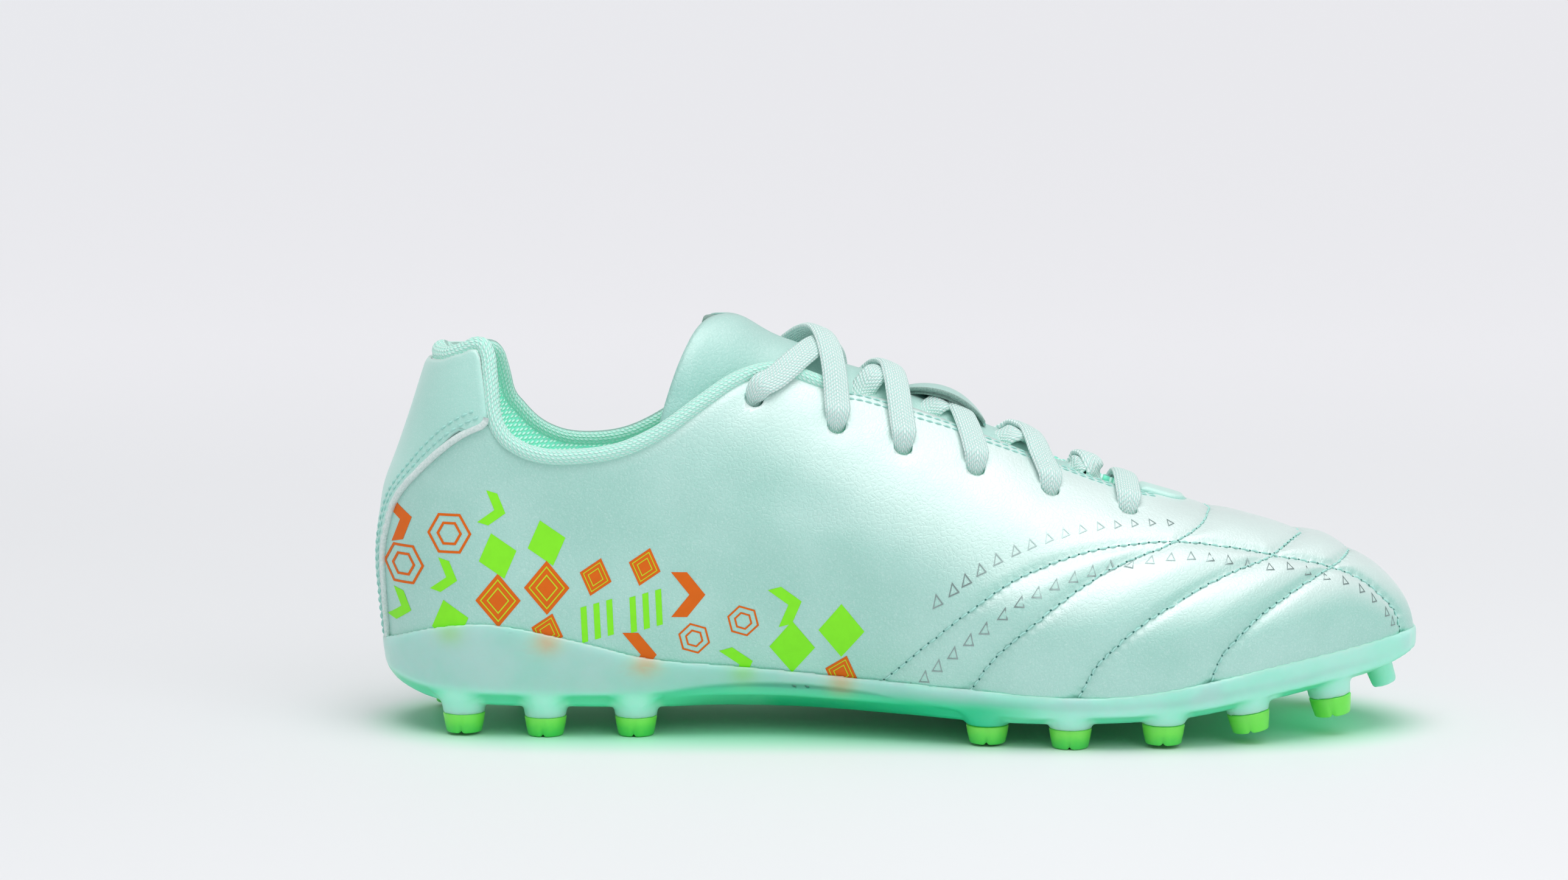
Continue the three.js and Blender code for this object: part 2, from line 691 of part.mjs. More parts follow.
// A closed wall between two offsets of an open skin
function thickened(skin, from, to) {
  skin.faceOutward();
  const near = skin.pushed(from);
  const far = skin.pushed(to);
  const wall = new Skin();
  skin.faces.forEach(([a, b, c]) => {
    wall.face(far[a], far[b], far[c]);
    wall.face(near[a], near[c], near[b]);
  });
  openEdges(skin.faces).forEach(([a, b]) => wall.quad(far[b], far[a], near[a], near[b]));
  return wall.solid();
}

// Knitted roll along the collar
function bindingSolid() {
  const rim = (at, side) => lastPoint(Math.abs(at), at < 0 ? -side : side, topEdge(Math.abs(at), side));
  const centre = (at, side) => {
    const reach = 0.006;
    const along = rim(at + reach, side).sub(rim(at - reach, side)).normalize();
    const normal = lastNormal(at, side, topEdge(at, side));
    const up = along.cross(normal).multiplyScalar(side).normalize();
    return rim(at, side).addScaledVector(up, BINDING_RADIUS + ROLL_GAP).addScaledVector(normal, -UPPER_WALL / 2);
  };
  const used = STATIONS.filter((at) => at <= BINDING_END);
  const path = [
    ...used.slice(1).reverse().map((at) => centre(at, -1)),
    centre(0, -1),
    ...used.slice(1).map((at) => centre(at, 1)),
  ];
  const curve = new THREE.CatmullRomCurve3(path, false, 'centripetal');
  return sweep(curve.getPoints(BINDING_STEPS), () => new THREE.Vector3(0, 0, 1), circle(BINDING_RADIUS, BINDING_SIDES));
}

function circle(radius, count) {
  return Array.from({ length: count }, (_, k) => {
    const turn = 2 * Math.PI * k / count;
    return [radius * Math.cos(turn), radius * Math.sin(turn)];
  });
}

// Sweeps an outline of [across, up] pairs along points, with `up` given by a function
function sweep(points, upAt, section) {
  const rings = points.map((p, i) => {
    const before = points[Math.max(0, i - 1)];
    const after = points[Math.min(points.length - 1, i + 1)];
    const along = after.clone().sub(before).normalize();
    const wanted = upAt(i);
    const across = along.clone().cross(wanted).normalize();
    const up = across.clone().cross(along);
    return section.map(([a, b]) => p.clone().addScaledVector(across, a).addScaledVector(up, b));
  });
  const skin = new Skin();
  const loop = (r) => [...r, r[0]];
  for (let i = 0; i + 1 < rings.length; i += 1) skin.strip(loop(rings[i]), loop(rings[i + 1]));
  const cap = (r) => {
    for (let k = 1; k + 1 < r.length; k += 1) skin.face(r[0], r[k], r[k + 1]);
  };
  cap(rings[0].slice().reverse());
  cap(rings[rings.length - 1]);
  return skin.solid();
}

// Tongue: a padded sheet under the throat, from the vamp to above the collar
function tongueSolid() {
  const lowEnd = THROAT_END + TONGUE_OVERLAP / LAST_LENGTH;
  const columns = 12;
  const rows = 10;
  const skin = new Skin();
  const sideEdge = (at, side) => Math.min(0.93, topEdge(Math.max(at, 0.3), side)) - 0.12;
  const grid = [];
  for (let i = 0; i <= columns; i += 1) {
    const across = 2 * i / columns - 1;
    const side = across < 0 ? -1 : 1;
    const share = Math.abs(across);
    const backEnd = 0.345 - 0.08 * share ** 0.65;
    grid.push(Array.from({ length: rows + 1 }, (_, j) => {
      const at = THREE.MathUtils.lerp(backEnd, lowEnd, j / rows);
      const t = 1 - share * (1 - sideEdge(at, side));
      const deep = UPPER_WALL + TONGUE_GAP;
      const puff = Math.max(0, 1 - 2.2 * share) * (at < THROAT_END - 0.07 ? 1 : 0);
      return onLast(at, side, t, -THREE.MathUtils.lerp(deep, 0.5, puff));
    }));
  }
  for (let i = 0; i < columns; i += 1) skin.strip(grid[i], grid[i + 1]);
  return thickened(skin, -TONGUE_WALL, 0);
}

// One pass of the lace over the throat, lying on the last
function strand(from, to, lift, base = 0) {
  const count = LACE_STEPS;
  const flat = (k) => {
    const share = k / count;
    const at = THREE.MathUtils.lerp(from.at, to.at, share);
    const across = 2 * share - 1;
    const side = across < 0 ? from.side : to.side;
    const edge = across < 0 ? from.edge : to.edge;
    const t = 1 - Math.abs(across) * (1 - edge);
    const bump = lift * Math.max(0, 1 - (across * 1.8) ** 2);
    const height = SEAT_GAP + LACE_THICKNESS / 2 + base + bump;
    return { point: onLast(at, side, t, height), normal: lastNormal(at, side, t) };
  };
  const steps = Array.from({ length: count + 1 }, (_, k) => flat(k));
  const w = LACE_WIDTH / 2;
  const h = LACE_THICKNESS / 2;
  const section = [[-w, 0], [-0.7 * w, -h], [0.7 * w, -h], [w, 0], [0.7 * w, h], [-0.7 * w, h]];
  return sweep(steps.map((s) => s.point), (i) => steps[i].normal, section);
}

function lacing() {
  const clear = (LACE_WIDTH + 2 * SEAT_GAP) / LAST_LENGTH;
  const last = EYELETS.length - 1;
  const eyelet = (k, side) => ({ at: EYELETS[k].at, edge: EYELETS[k].edge, side });
  const tucked = (k, side, shift) => {
    const at = EYELETS[k].at + shift;
    return { at, edge: topEdge(at, side) + 0.03, side };
  };
  const start = (k, side) => (k === last ? tucked(k, side, -clear) : eyelet(k, side));
  const end = (k, side) => (k === 0 ? eyelet(k, side) : tucked(k, side, clear));
  const passes = [];
  for (let k = 0; k < last; k += 1) {
    const base = k === 0 ? BINDING_RADIUS - UPPER_WALL / 2 + SEAT_GAP : 0;
    const over = strand(start(k + 1, -1), end(k, 1), 0.85 * LACE_THICKNESS, base);
    const under = strand(start(k + 1, 1), end(k, -1), 0, base);
    passes.push(over.add(under));
  }
  passes.push(strand(eyelet(last, -1), eyelet(last, 1), 0));
  return passes;
}

// Scene
const shoe = new THREE.Group();

function addPiece(name, solid, look) {
  const mesh = new THREE.Mesh(geometryOf(solid), look);
  mesh.name = name;
  shoe.add(mesh);
}

addPiece('outsole', outsoleSolid(), LOOKS.sole);
STUDS.forEach((stud) => {
  addPiece(`stud_tip_${stud.name}`, studTip(stud, studCentre(stud, STUD_WIDTH)), LOOKS.tip);
});
addPiece('upper', upperSolid(), LOOKS.upper);
addPiece('heel_counter', counterSolid(), LOOKS.counter);
addPiece('collar_binding', bindingSolid(), LOOKS.binding);
addPiece('tongue', tongueSolid(), LOOKS.tongue);
addPiece('insole', insoleSolid(), LOOKS.insole);
lacing().forEach((solid, k) => addPiece(`lace_pass_${k + 1}`, solid, LOOKS.lace));

// The shoe stands with its middle over the origin
const extent = new THREE.Box3().setFromObject(shoe);
const middle = extent.getCenter(new THREE.Vector3());
shoe.position.set(-middle.x, -middle.y, -extent.min.z);

export default shoe;
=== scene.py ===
"""Looks of a studded football boot for the left foot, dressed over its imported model.

Shapes are worked out in millimetres on the boot's last: x from heel to toe, y to the outer
side of the foot, z up from the ground. They are moved into the part's frame, in metres,
when an object is made.
"""

import math

import bmesh
import bpy
import numpy as np
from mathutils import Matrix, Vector
from mathutils.bvhtree import BVHTree
from mathutils.kdtree import KDTree


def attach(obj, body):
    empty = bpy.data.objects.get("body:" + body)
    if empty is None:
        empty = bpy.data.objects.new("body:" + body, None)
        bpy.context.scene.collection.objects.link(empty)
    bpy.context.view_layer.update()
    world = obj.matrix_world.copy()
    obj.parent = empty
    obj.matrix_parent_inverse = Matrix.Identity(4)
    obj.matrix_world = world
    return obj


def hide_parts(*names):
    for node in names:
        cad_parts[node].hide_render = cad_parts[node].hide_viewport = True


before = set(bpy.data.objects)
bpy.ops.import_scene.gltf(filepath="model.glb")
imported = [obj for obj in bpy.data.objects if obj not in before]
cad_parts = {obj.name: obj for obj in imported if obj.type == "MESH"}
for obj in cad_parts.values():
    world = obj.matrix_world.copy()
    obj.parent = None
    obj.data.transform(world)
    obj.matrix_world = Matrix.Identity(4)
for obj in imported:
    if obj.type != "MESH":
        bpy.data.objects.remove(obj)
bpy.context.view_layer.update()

# The part's origin, seen from the last's own frame, in millimetres
ORIGIN = np.array([132.576, 0.310, 0.0])
MM = 0.001

# Driving dimensions of the last
LAST_LENGTH = 263.6
BALL_WIDTH = 92
INSTEP_HEIGHT = 90
HEEL_LEAN = 24
HEEL_LEAN_REACH = 70
HEEL_ROUND = 30
TOE_ROUND = 70
TOE_NOSE = 29
WIDEST = 0.35
VAMP_START = 126

# Upper and trim
UPPER_WALL = 2.0
COLLAR_PADDING = 4.2
EYELET_BORE = 4.8
COUNTER_OUT = 1.0
COUNTER_SINK = 0.15
ROLL_RADIUS = 2.0
ROLL_END = 0.447
TONGUE_WALL = 3.2
TONGUE_LEATHER = 1.5
INSOLE_THICKNESS = 3.4
LACE_WIDTH = 6.6
LACE_THICKNESS = 2.1
STITCH_PITCH = 2.7
SEAM_PITCH = 2.3
EYESTAY_ROWS_APART = 1.9
# Length of a section from floor to crest at the eyelets, about
SECTION_ARC = 105
# The same for the share of a section that the cup wall hides, a little more
SIDE_ARC = 130

# Outsole and studs
PLATE_THICKNESS = 4
TOE_SPRING = 12
CUP_WALL = 1.3
CUP_GAP = 0.1
CUP_RISE = 17
STEP_HEIGHT = 3.6
STEP_DEPTH = 1.6
STUD_LENGTH = 7.5
STUD_TIP_HEIGHT = 4.8
STUD_WIDTH = 10.6
STUD_TAPER = 0.86
STUD_FLARE = 3.4
STUD_EDGE_MARGIN = 0.7
FOOT_MARGIN = 0.15
TOE_STUD_WIDTH = 7.5
STANDING = 0.15
SOLE_VOXEL = 0.55


class Table:
    """Smooth curves through the columns of a table whose first column is the key."""

    def __init__(self, names, rows):
        data = np.array(rows, float)
        self.key = data[:, 0]
        gap = np.diff(self.key)
        self.columns = {}
        for i, name in enumerate(names):
            y = data[:, i]
            rise = np.diff(y) / gap
            inner = (rise[:-1] * gap[1:] + rise[1:] * gap[:-1]) / (gap[:-1] + gap[1:])
            self.columns[name] = (y, np.concatenate([rise[:1], inner, rise[-1:]]))

    def __call__(self, name, value):
        y, slope = self.columns[name]
        v = np.clip(value, self.key[0], self.key[-1])
        k = np.clip(np.searchsorted(self.key, v, side="right") - 1, 0, len(self.key) - 2)
        span = self.key[k + 1] - self.key[k]
        t = (v - self.key[k]) / span
        t2 = t * t
        t3 = t2 * t
        start = (2 * t3 - 3 * t2 + 1) * y[k] + (t3 - 2 * t2 + t) * slope[k] * span
        return start + (3 * t2 - 2 * t3) * y[k + 1] + (t3 - t2) * slope[k + 1] * span


# Sections of the last from heel to toe, as shares of the driving dimensions
LAST = Table(
    ["at", "middle", "half", "tuck", "wide", "crest", "ridge", "steep", "full"],
    [
        [0.00, 0.004, 0.310, 0.90, 0.29, 1.25, 0.005, 0.25, 0.70],
        [0.095, 0.005, 0.318, 0.90, 0.33, 1.29, 0.005, 0.25, 0.70],
        [0.19, 0.011, 0.339, 0.88, 0.34, 1.19, 0.009, 0.38, 0.74],
        [0.285, 0.020, 0.356, 0.85, 0.36, 1.07, 0.011, 0.40, 0.66],
        [0.39, 0.033, 0.386, 0.79, 0.38, 0.97, 0.000, 0.37, 0.52],
        [0.485, 0.033, 0.435, 0.84, 0.32, 0.87, -0.011, 0.33, 0.42],
        [0.57, 0.022, 0.478, 0.91, 0.24, 0.775, -0.022, 0.33, 0.40],
        [0.645, 0.007, 0.497, 0.94, 0.20, 0.67, -0.033, 0.36, 0.44],
        [0.70, -0.002, 0.492, 0.95, 0.185, 0.605, -0.043, 0.39, 0.48],
        [0.775, -0.013, 0.461, 0.94, 0.18, 0.525, -0.054, 0.43, 0.54],
        [0.85, -0.018, 0.422, 0.93, 0.155, 0.425, -0.054, 0.47, 0.60],
        [0.93, -0.011, 0.370, 0.92, 0.12, 0.330, -0.049, 0.52, 0.64],
        [1.00, -0.043, 0.326, 0.90, 0.05, 0.222, -0.043, 0.55, 0.62],
    ],
)

# Lean of the heel's back line over the height above the ground
HEEL_BACK = Table(
    ["height", "lean"],
    [
        [0.13, 0.14],
        [0.22, 0.09],
        [0.30, 0.06],
        [0.37, 0.03],
        [0.46, 0.00],
        [0.56, 0.02],
        [0.61, 0.05],
        [0.67, 0.09],
        [0.77, 0.23],
        [0.875, 0.36],
        [0.98, 0.49],
        [1.08, 0.625],
        [1.42, 1.00],
    ],
)

# Outsole sections, as shares of the outsole's dimensions
SOLE = Table(
    ["at", "lift", "plate", "rise", "step", "recess", "arch", "outer"],
    [
        [0.00, 0.34, 0.98, 0.42, 1.14, 0.4, 1.3, 1.3],
        [0.04, 0.12, 1.04, 0.80, 1.08, 0.9, 1.4, 1.4],
        [0.095, 0.04, 1.00, 1.02, 1.00, 1.0, 1.3, 1.3],
        [0.19, 0.00, 1.00, 0.83, 1.00, 1.0, 1.3, 1.3],
        [0.265, -0.02, 1.10, 0.54, 1.20, 1.0, 1.6, 1.4],
        [0.33, -0.06, 1.40, 0.40, 1.90, 0.4, 4.4, 2.4],
        [0.39, -0.10, 1.47, 0.33, 2.15, 0.4, 5.2, 2.8],
        [0.455, -0.12, 1.38, 0.29, 1.95, 0.4, 4.4, 2.4],
        [0.525, -0.12, 1.20, 0.28, 1.25, 0.7, 2.4, 1.6],
        [0.57, -0.12, 1.08, 0.27, 0.75, 1.0, 1.2, 1.2],
        [0.70, -0.09, 0.86, 0.24, 0.60, 1.0, 1.1, 1.1],
        [0.775, 0.00, 0.88, 0.32, 0.60, 1.0, 1.1, 1.1],
        [0.85, 0.26, 0.86, 0.37, 0.60, 1.0, 1.2, 1.2],
        [0.93, 0.52, 0.95, 0.34, 0.55, 1.0, 1.5, 1.5],
        [0.97, 0.70, 0.92, 0.32, 0.50, 1.0, 1.6, 1.6],
        [1.00, 0.97, 0.58, 0.25, 0.40, 1.0, 1.6, 1.6],
    ],
)

# Top edge of the upper, as the section's parameter from floor 0 to crest 1
TOPLINE = Table(
    ["at", "inner", "outer"],
    [
        [0.000, 0.680, 0.680],
        [0.025, 0.686, 0.680],
        [0.050, 0.696, 0.680],
        [0.078, 0.690, 0.671],
        [0.090, 0.650, 0.642],
        [0.100, 0.607, 0.611],
        [0.113, 0.578, 0.590],
        [0.135, 0.553, 0.558],
        [0.165, 0.537, 0.532],
        [0.200, 0.537, 0.525],
        [0.245, 0.558, 0.545],
        [0.282, 0.602, 0.592],
        [0.320, 0.671, 0.664],
        [0.356, 0.747, 0.742],
        [0.382, 0.790, 0.787],
        [0.430, 0.804, 0.804],
        [0.450, 0.812, 0.812],
        [0.470, 0.832, 0.832],
        [0.500, 0.852, 0.852],
        [0.580, 0.876, 0.876],
        [0.650, 0.918, 0.918],
        [0.720, 0.932, 0.932],
        [0.742, 0.944, 0.944],
        [0.756, 0.972, 0.972],
        [0.762, 1.000, 1.000],
    ],
)
THROAT_END = 0.762

EYELETS = [
    (0.365, 0.705),
    (0.443, 0.708),
    (0.506, 0.722),
    (0.575, 0.748),
    (0.646, 0.786),
    (0.720, 0.808),
]

# Reach of the heel overlay from the back line, over the section's parameter
COUNTER = Table(
    ["t", "at"],
    [
        [0.08, 0.0046],
        [0.134, 0.0053],
        [0.311, 0.0083],
        [0.423, 0.0106],
        [0.478, 0.0159],
        [0.522, 0.0300],
        [0.558, 0.0500],
        [0.574, 0.0640],
        [0.586, 0.0800],
        [0.594, 0.0960],
        [0.602, 0.0990],
        [0.620, 0.0965],
        [0.650, 0.0895],
        [0.690, 0.0780],
    ],
)

# Seams, as millimetres along the last and the section's parameter
VAMP_SEAM = [
    (124.5, 0.02), (128.9, 0.069), (138.4, 0.212), (149.8, 0.387), (159.4, 0.494),
    (169.2, 0.569), (181.0, 0.639), (191.0, 0.681), (200.9, 0.713), (212.9, 0.734),
    (225.7, 0.736), (241.2, 0.704), (250.5, 0.676), (256.8, 0.607), (259.6, 0.428),
    (260.4, 0.30),
]
QUILT_SEAMS = [
    [(147.0, 0.02), (149.6, 0.075), (154.6, 0.213), (161.2, 0.339), (170.8, 0.464),
     (180.7, 0.560), (190.7, 0.637), (200.9, 0.713), (207.5, 0.806), (212.3, 1.0)],
    [(174.0, 0.02), (176.3, 0.097), (180.4, 0.254), (188.0, 0.386), (199.8, 0.495),
     (212.0, 0.601), (225.7, 0.736), (232.3, 0.882), (236.0, 1.0)],
    [(208.0, 0.06), (209.3, 0.152), (211.5, 0.262), (219.4, 0.414), (229.9, 0.548),
     (241.2, 0.704), (246.1, 0.858), (248.0, 1.0)],
]
EYESTAY_SEAM = [
    (117.0, 0.801), (120.7, 0.816), (129.4, 0.833), (136.0, 0.839), (146.1, 0.856),
    (152.1, 0.861), (164.2, 0.889), (171.7, 0.906), (187.6, 0.912), (193.0, 0.917),
    (198.5, 0.935),
]

STUDS = [
    ("heel_inner_1", 0.075, -1, 0.05),
    ("heel_inner_2", 0.163, -1, 0.0),
    ("heel_inner_3", 0.252, -1, 0.0),
    ("heel_outer_1", 0.046, 1, 0.10),
    ("heel_outer_2", 0.142, 1, 0.0),
    ("heel_outer_3", 0.246, 1, 0.0),
    ("front_inner_1", 0.580, -1, 0.04),
    ("front_inner_2", 0.660, -1, 0.0),
    ("front_inner_3", 0.752, -1, 0.07),
    ("front_inner_4", 0.840, -1, 0.25),
    ("front_inner_5", 0.926, -1, 0.42),
    ("front_outer_1", 0.596, 1, 0.02),
    ("front_outer_2", 0.694, 1, 0.0),
    ("front_outer_3", 0.777, 1, 0.09),
    ("front_outer_4", 0.853, 1, 0.26),
    ("front_outer_5", 0.928, 1, 0.42),
]
TOE_STUD = (0.978, 0.80)


def add_object(name, data):
    obj = bpy.data.objects.new(name, data)
    bpy.context.scene.collection.objects.link(obj)
    return obj


# Camera
def add_camera():
    lens = bpy.data.cameras.new("camera")
    lens.lens = 85
    lens.sensor_width = 36
    camera = add_object("camera", lens)
    camera.location = (-0.02901, -0.94023, 0.17925)
    camera.rotation_euler = (math.radians(83.5), 0, 0)
    bpy.context.scene.camera = camera


add_camera()


# The last
def smooth(a, b, v):
    s = np.clip((v - a) / (b - a), 0, 1)
    return s * s * (3 - 2 * s)


def bell(distance, width):
    return np.exp(-((distance / width) ** 2))


def plate_bottom(at):
    return STUD_LENGTH + TOE_SPRING * SOLE("lift", at)


def floor_height(at):
    return plate_bottom(at) + PLATE_THICKNESS * SOLE("plate", at)


def cup_top(at):
    return floor_height(at) + CUP_RISE * SOLE("rise", at)


def step_top(at):
    return plate_bottom(at) + STEP_HEIGHT * SOLE("step", at)


def grown(distance, radius, power):
    short = np.clip((radius - distance) / radius, 0, 1)
    return (1 - short**power) ** (1 / power)


def bezier(a, b, c, d, t):
    s = 1 - t
    return s * s * s * a + 3 * s * s * t * b + 3 * s * t * t * c + t * t * t * d


def last_point(at, side, t):
    """Points of the last; side -1 is the foot's inner side, t runs from floor to crest."""
    at, side, t = np.broadcast_arrays(np.asarray(at, float), side, t)
    x = at * LAST_LENGTH
    round_ = grown(x, HEEL_ROUND, 2.1) * grown(LAST_LENGTH - x, TOE_ROUND, 2.3)
    nose = grown(LAST_LENGTH - x, TOE_NOSE, 2.6)
    middle = BALL_WIDTH * LAST("middle", at)
    half = BALL_WIDTH * LAST("half", at) * round_
    foot = floor_height(at)
    wide = foot + INSTEP_HEIGHT * LAST("wide", at) * nose
    crest = foot + INSTEP_HEIGHT * LAST("crest", at) * nose
    ridge = middle + (BALL_WIDTH * LAST("ridge", at) - middle) * round_
    floor_half = half * LAST("tuck", at)
    s = np.clip(t / WIDEST, 0, 1)
    up = wide - foot
    out = half - floor_half
    low_y = middle + side * bezier(floor_half, floor_half + 0.7 * out, half, half, s)
    low_z = bezier(foot, foot + 0.3 * up, wide - 0.4 * up, wide, s)
    s = np.clip((t - WIDEST) / (1 - WIDEST), 0, 1)
    up = crest - wide
    edge = middle + side * half
    full = ridge + (edge - ridge) * LAST("full", at)
    high_y = bezier(edge, edge, full, ridge, s)
    high_z = bezier(wide, wide + up * LAST("steep", at), crest, crest, s)
    y = np.where(t < WIDEST, low_y, high_y)
    z = np.where(t < WIDEST, low_z, high_z)
    fade = np.maximum(0, 1 - x / HEEL_LEAN_REACH) ** 2
    lean = HEEL_LEAN * HEEL_BACK("lean", z / INSTEP_HEIGHT)
    return np.stack([x + lean * fade, y, z], -1)


def unit(v):
    return v / np.maximum(np.linalg.norm(v, axis=-1, keepdims=True), 1e-9)


def run_length(points):
    """Lengths along a row of points, from its first one."""
    return np.concatenate([[0], np.cumsum(np.linalg.norm(np.diff(points, axis=0), axis=1))])


def circle(count):
    turn = np.arange(count) * 2 * np.pi / count
    return np.stack([np.cos(turn), np.sin(turn)], -1)


def last_normal(at, side, t):
    at, side, t = np.broadcast_arrays(np.asarray(at, float), side, t)
    step = 0.002
    a = np.clip(at, step, 1 - 2 * step)
    b = np.clip(t, step, 1 - step)
    along = last_point(a + step, side, b) - last_point(a - step, side, b)
    up = last_point(a, side, b + step) - last_point(a, side, b - step)
    return unit(np.cross(along, up) * -side[..., None])


def top_edge(at, side):
    at, side = np.broadcast_arrays(np.asarray(at, float), side)
    edge = np.where(side < 0, TOPLINE("inner", at), TOPLINE("outer", at))
    return np.where(at >= THROAT_END, 1.0, np.minimum(edge, 1.0))


def spline(points, step):
    """A smooth curve through points, resampled about every step."""
    p = np.asarray(points, float)
    key = run_length(p)
    rows = np.column_stack([key, p])
    names = ["key"] + [str(i) for i in range(p.shape[1])]
    curve = Table(names, rows)
    fine = np.linspace(0, key[-1], max(3, int(round(key[-1] / step)) + 1))
    return np.stack([curve(n, fine) for n in names[1:]], -1)


def seam_on_last(knots, step=0.4):
    """Dense (at, t) pairs of a seam through knots given in millimetres and parameter."""
    fine = spline([(x, t * INSTEP_HEIGHT) for x, t in knots], step)
    return fine[:, 0] / LAST_LENGTH, fine[:, 1] / INSTEP_HEIGHT


# Relief of the upper's leather
def seam_tree():
    rows = []
    for knots in [VAMP_SEAM, *QUILT_SEAMS]:
        at, t = seam_on_last(knots)
        for side in (-1, 1):
            p = last_point(at, side, t)
            rows.append(np.column_stack([p, run_length(p)]))
    rows = np.concatenate(rows)
    tree = KDTree(len(rows))
    for i, row in enumerate(rows):
        tree.insert(row[:3], i)
    tree.balance()
    return tree, rows[:, 3]


SEAM_TREE, SEAM_RUN = seam_tree()
# Where the padded vamp starts: along the long seam, then over the instep
QUILT_START = [(VAMP_SEAM[0][0], 0.0), *VAMP_SEAM[1:9], *QUILT_SEAMS[0][-2:]]
QUILT_PUFF = 0.85
QUILT_SLOPE = 5.0
SEAM_PULL = 0.5
QUILT_PULL = 0.25
SEAM_SLOPE = 1.35
STITCH_BEAT = 0.3
EYELET_DENT = 0.35
EYELET_SLOPE = 4.0
EDGE_TURN = 0.35

# Soft troughs in the quarter: start, end (millimetres along and up), width, depth
TROUGHS = [
    ((66, 56), (104, 50), 7.0, 0.5),
    ((78, 66), (128, 54), 6.0, 0.45),
    ((104, 44), (150, 34), 8.0, 0.5),
    ((34, 46), (60, 52), 6.0, 0.35),
    ((150, 50), (176, 40), 6.0, 0.3),
]


def relief(at, side, t, base):
    """How far the leather stands over the last: quilting, pull at seams, soft troughs."""
    flat = base.reshape(-1, 3)
    near = [SEAM_TREE.find(p) for p in flat]
    distance = np.array([n[2] for n in near]).reshape(at.shape)
    run = SEAM_RUN[np.array([n[1] for n in near])].reshape(at.shape)
    x = at * LAST_LENGTH
    quilt_x, quilt_t = np.transpose(QUILT_START)
    padded = smooth(-3, 6, x - np.interp(t, quilt_t, quilt_x))
    pull = 1 + STITCH_BEAT * np.cos(2 * np.pi * run / STITCH_PITCH)
    out = QUILT_PUFF * padded * (1 - bell(distance, QUILT_SLOPE))
    out = out - (SEAM_PULL + QUILT_PULL * padded) * pull * bell(distance, SEAM_SLOPE)
    for (x0, z0), (x1, z1), width, depth in TROUGHS:
        along = np.array([x1 - x0, z1 - z0], float)
        px = base[..., 0] - x0
        pz = base[..., 2] - z0
        share = np.clip((px * along[0] + pz * along[1]) / (along @ along), 0, 1)
        off = np.hypot(px - share * along[0], pz - share * along[1])
        ends = smooth(0, 0.35, share) * smooth(1, 0.65, share)
        out = out - depth * ends * bell(off, width)
    for eye_at, eye_t in EYELETS:
        hole = last_point(eye_at, side, eye_t)
        out = out - EYELET_DENT * bell(np.linalg.norm(base - hole, axis=-1), EYELET_SLOPE)
    edge = top_edge(at, side)
    roll = smooth(0.0, 0.03, edge - t) * (at < THROAT_END) + (at >= THROAT_END)
    cup = (cup_top(at) - floor_height(at)) / SIDE_ARC
    return out * smooth(cup, cup + 0.06, t) - EDGE_TURN * (1 - roll)


# Objects
def to_frame(points):
    return (np.asarray(points, float) - ORIGIN) * MM


def make_object(name, points, faces, materials, slots=None, uv=None):
    mesh = bpy.data.meshes.new(name)
    mesh.from_pydata(to_frame(points).tolist(), [], [list(map(int, f)) for f in faces])
    for mat in materials:
        mesh.materials.append(mat)
    if slots is not None:
        mesh.polygons.foreach_set("material_index", np.asarray(slots, np.int32))
    if uv is not None:
        layer = mesh.uv_layers.new(name="weave")
        corner = np.zeros(len(mesh.loops), np.int32)
        mesh.loops.foreach_get("vertex_index", corner)
        layer.data.foreach_set("uv", np.asarray(uv, np.float32)[corner].ravel())
    mesh.polygons.foreach_set("use_smooth", np.ones(len(mesh.polygons), bool))
    mesh.validate()
    mesh.update()
    return add_object(name, mesh)


def dress(obj, nodes=()):
    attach(obj, "root")
    if nodes:
        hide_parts(*nodes)


def apply_modifiers(obj):
    graph = bpy.context.evaluated_depsgraph_get()
    done = bpy.data.meshes.new_from_object(obj.evaluated_get(graph))
    old = obj.data
    obj.modifiers.clear()
    obj.data = done
    bpy.data.meshes.remove(old)


def grid_faces(rows, columns, closed=False):
    r = np.arange(rows - 1)[:, None]
    c = np.arange(columns if closed else columns - 1)[None, :]
    a = r * columns + c
    b = r * columns + (c + 1) % columns
    return np.stack([a, b, b + columns, a + columns], -1).reshape(-1, 4)


def sheet_faces(quads, rows, columns):
    """Faces of a closed sheet: a grid's quads, the same underneath and a wall round the rim."""
    count = rows * columns
    shape = np.arange(count).reshape(rows, columns)
    rim = np.concatenate([shape[0], shape[1:, -1], shape[-1, -2::-1], shape[-2:0:-1, 0]])
    after = np.roll(rim, -1)
    wall = np.stack([rim, after, after + count, rim + count], -1)
    return np.concatenate([quads, quads[:, ::-1] + count, wall])


def vertex_normals(points, faces):
    p = points[faces]
    flat = unit(np.cross(p[:, 2] - p[:, 0], p[:, 3] - p[:, 1]))
    total = np.zeros_like(points)
    for k in range(4):
        np.add.at(total, faces[:, k], flat)
    return unit(total)


class Parts:
    """Collects small meshes into one."""

    def __init__(self):
        self.points = []
        self.faces = []
        self.uv = []
        self.slots = []
        self.count = 0

    def add(self, points, faces, uv=None, slot=0):
        points = np.asarray(points, float).reshape(-1, 3)
        self.points.append(points)
        self.faces += [[int(i) + self.count for i in f] for f in faces]
        self.slots += [slot] * len(faces)
        self.uv.append(np.zeros((len(points), 2)) if uv is None else np.asarray(uv).reshape(-1, 2))
        self.count += len(points)

    def build(self, name, materials):
        return make_object(
            name, np.concatenate(self.points), self.faces, materials,
            self.slots, np.concatenate(self.uv),
        )


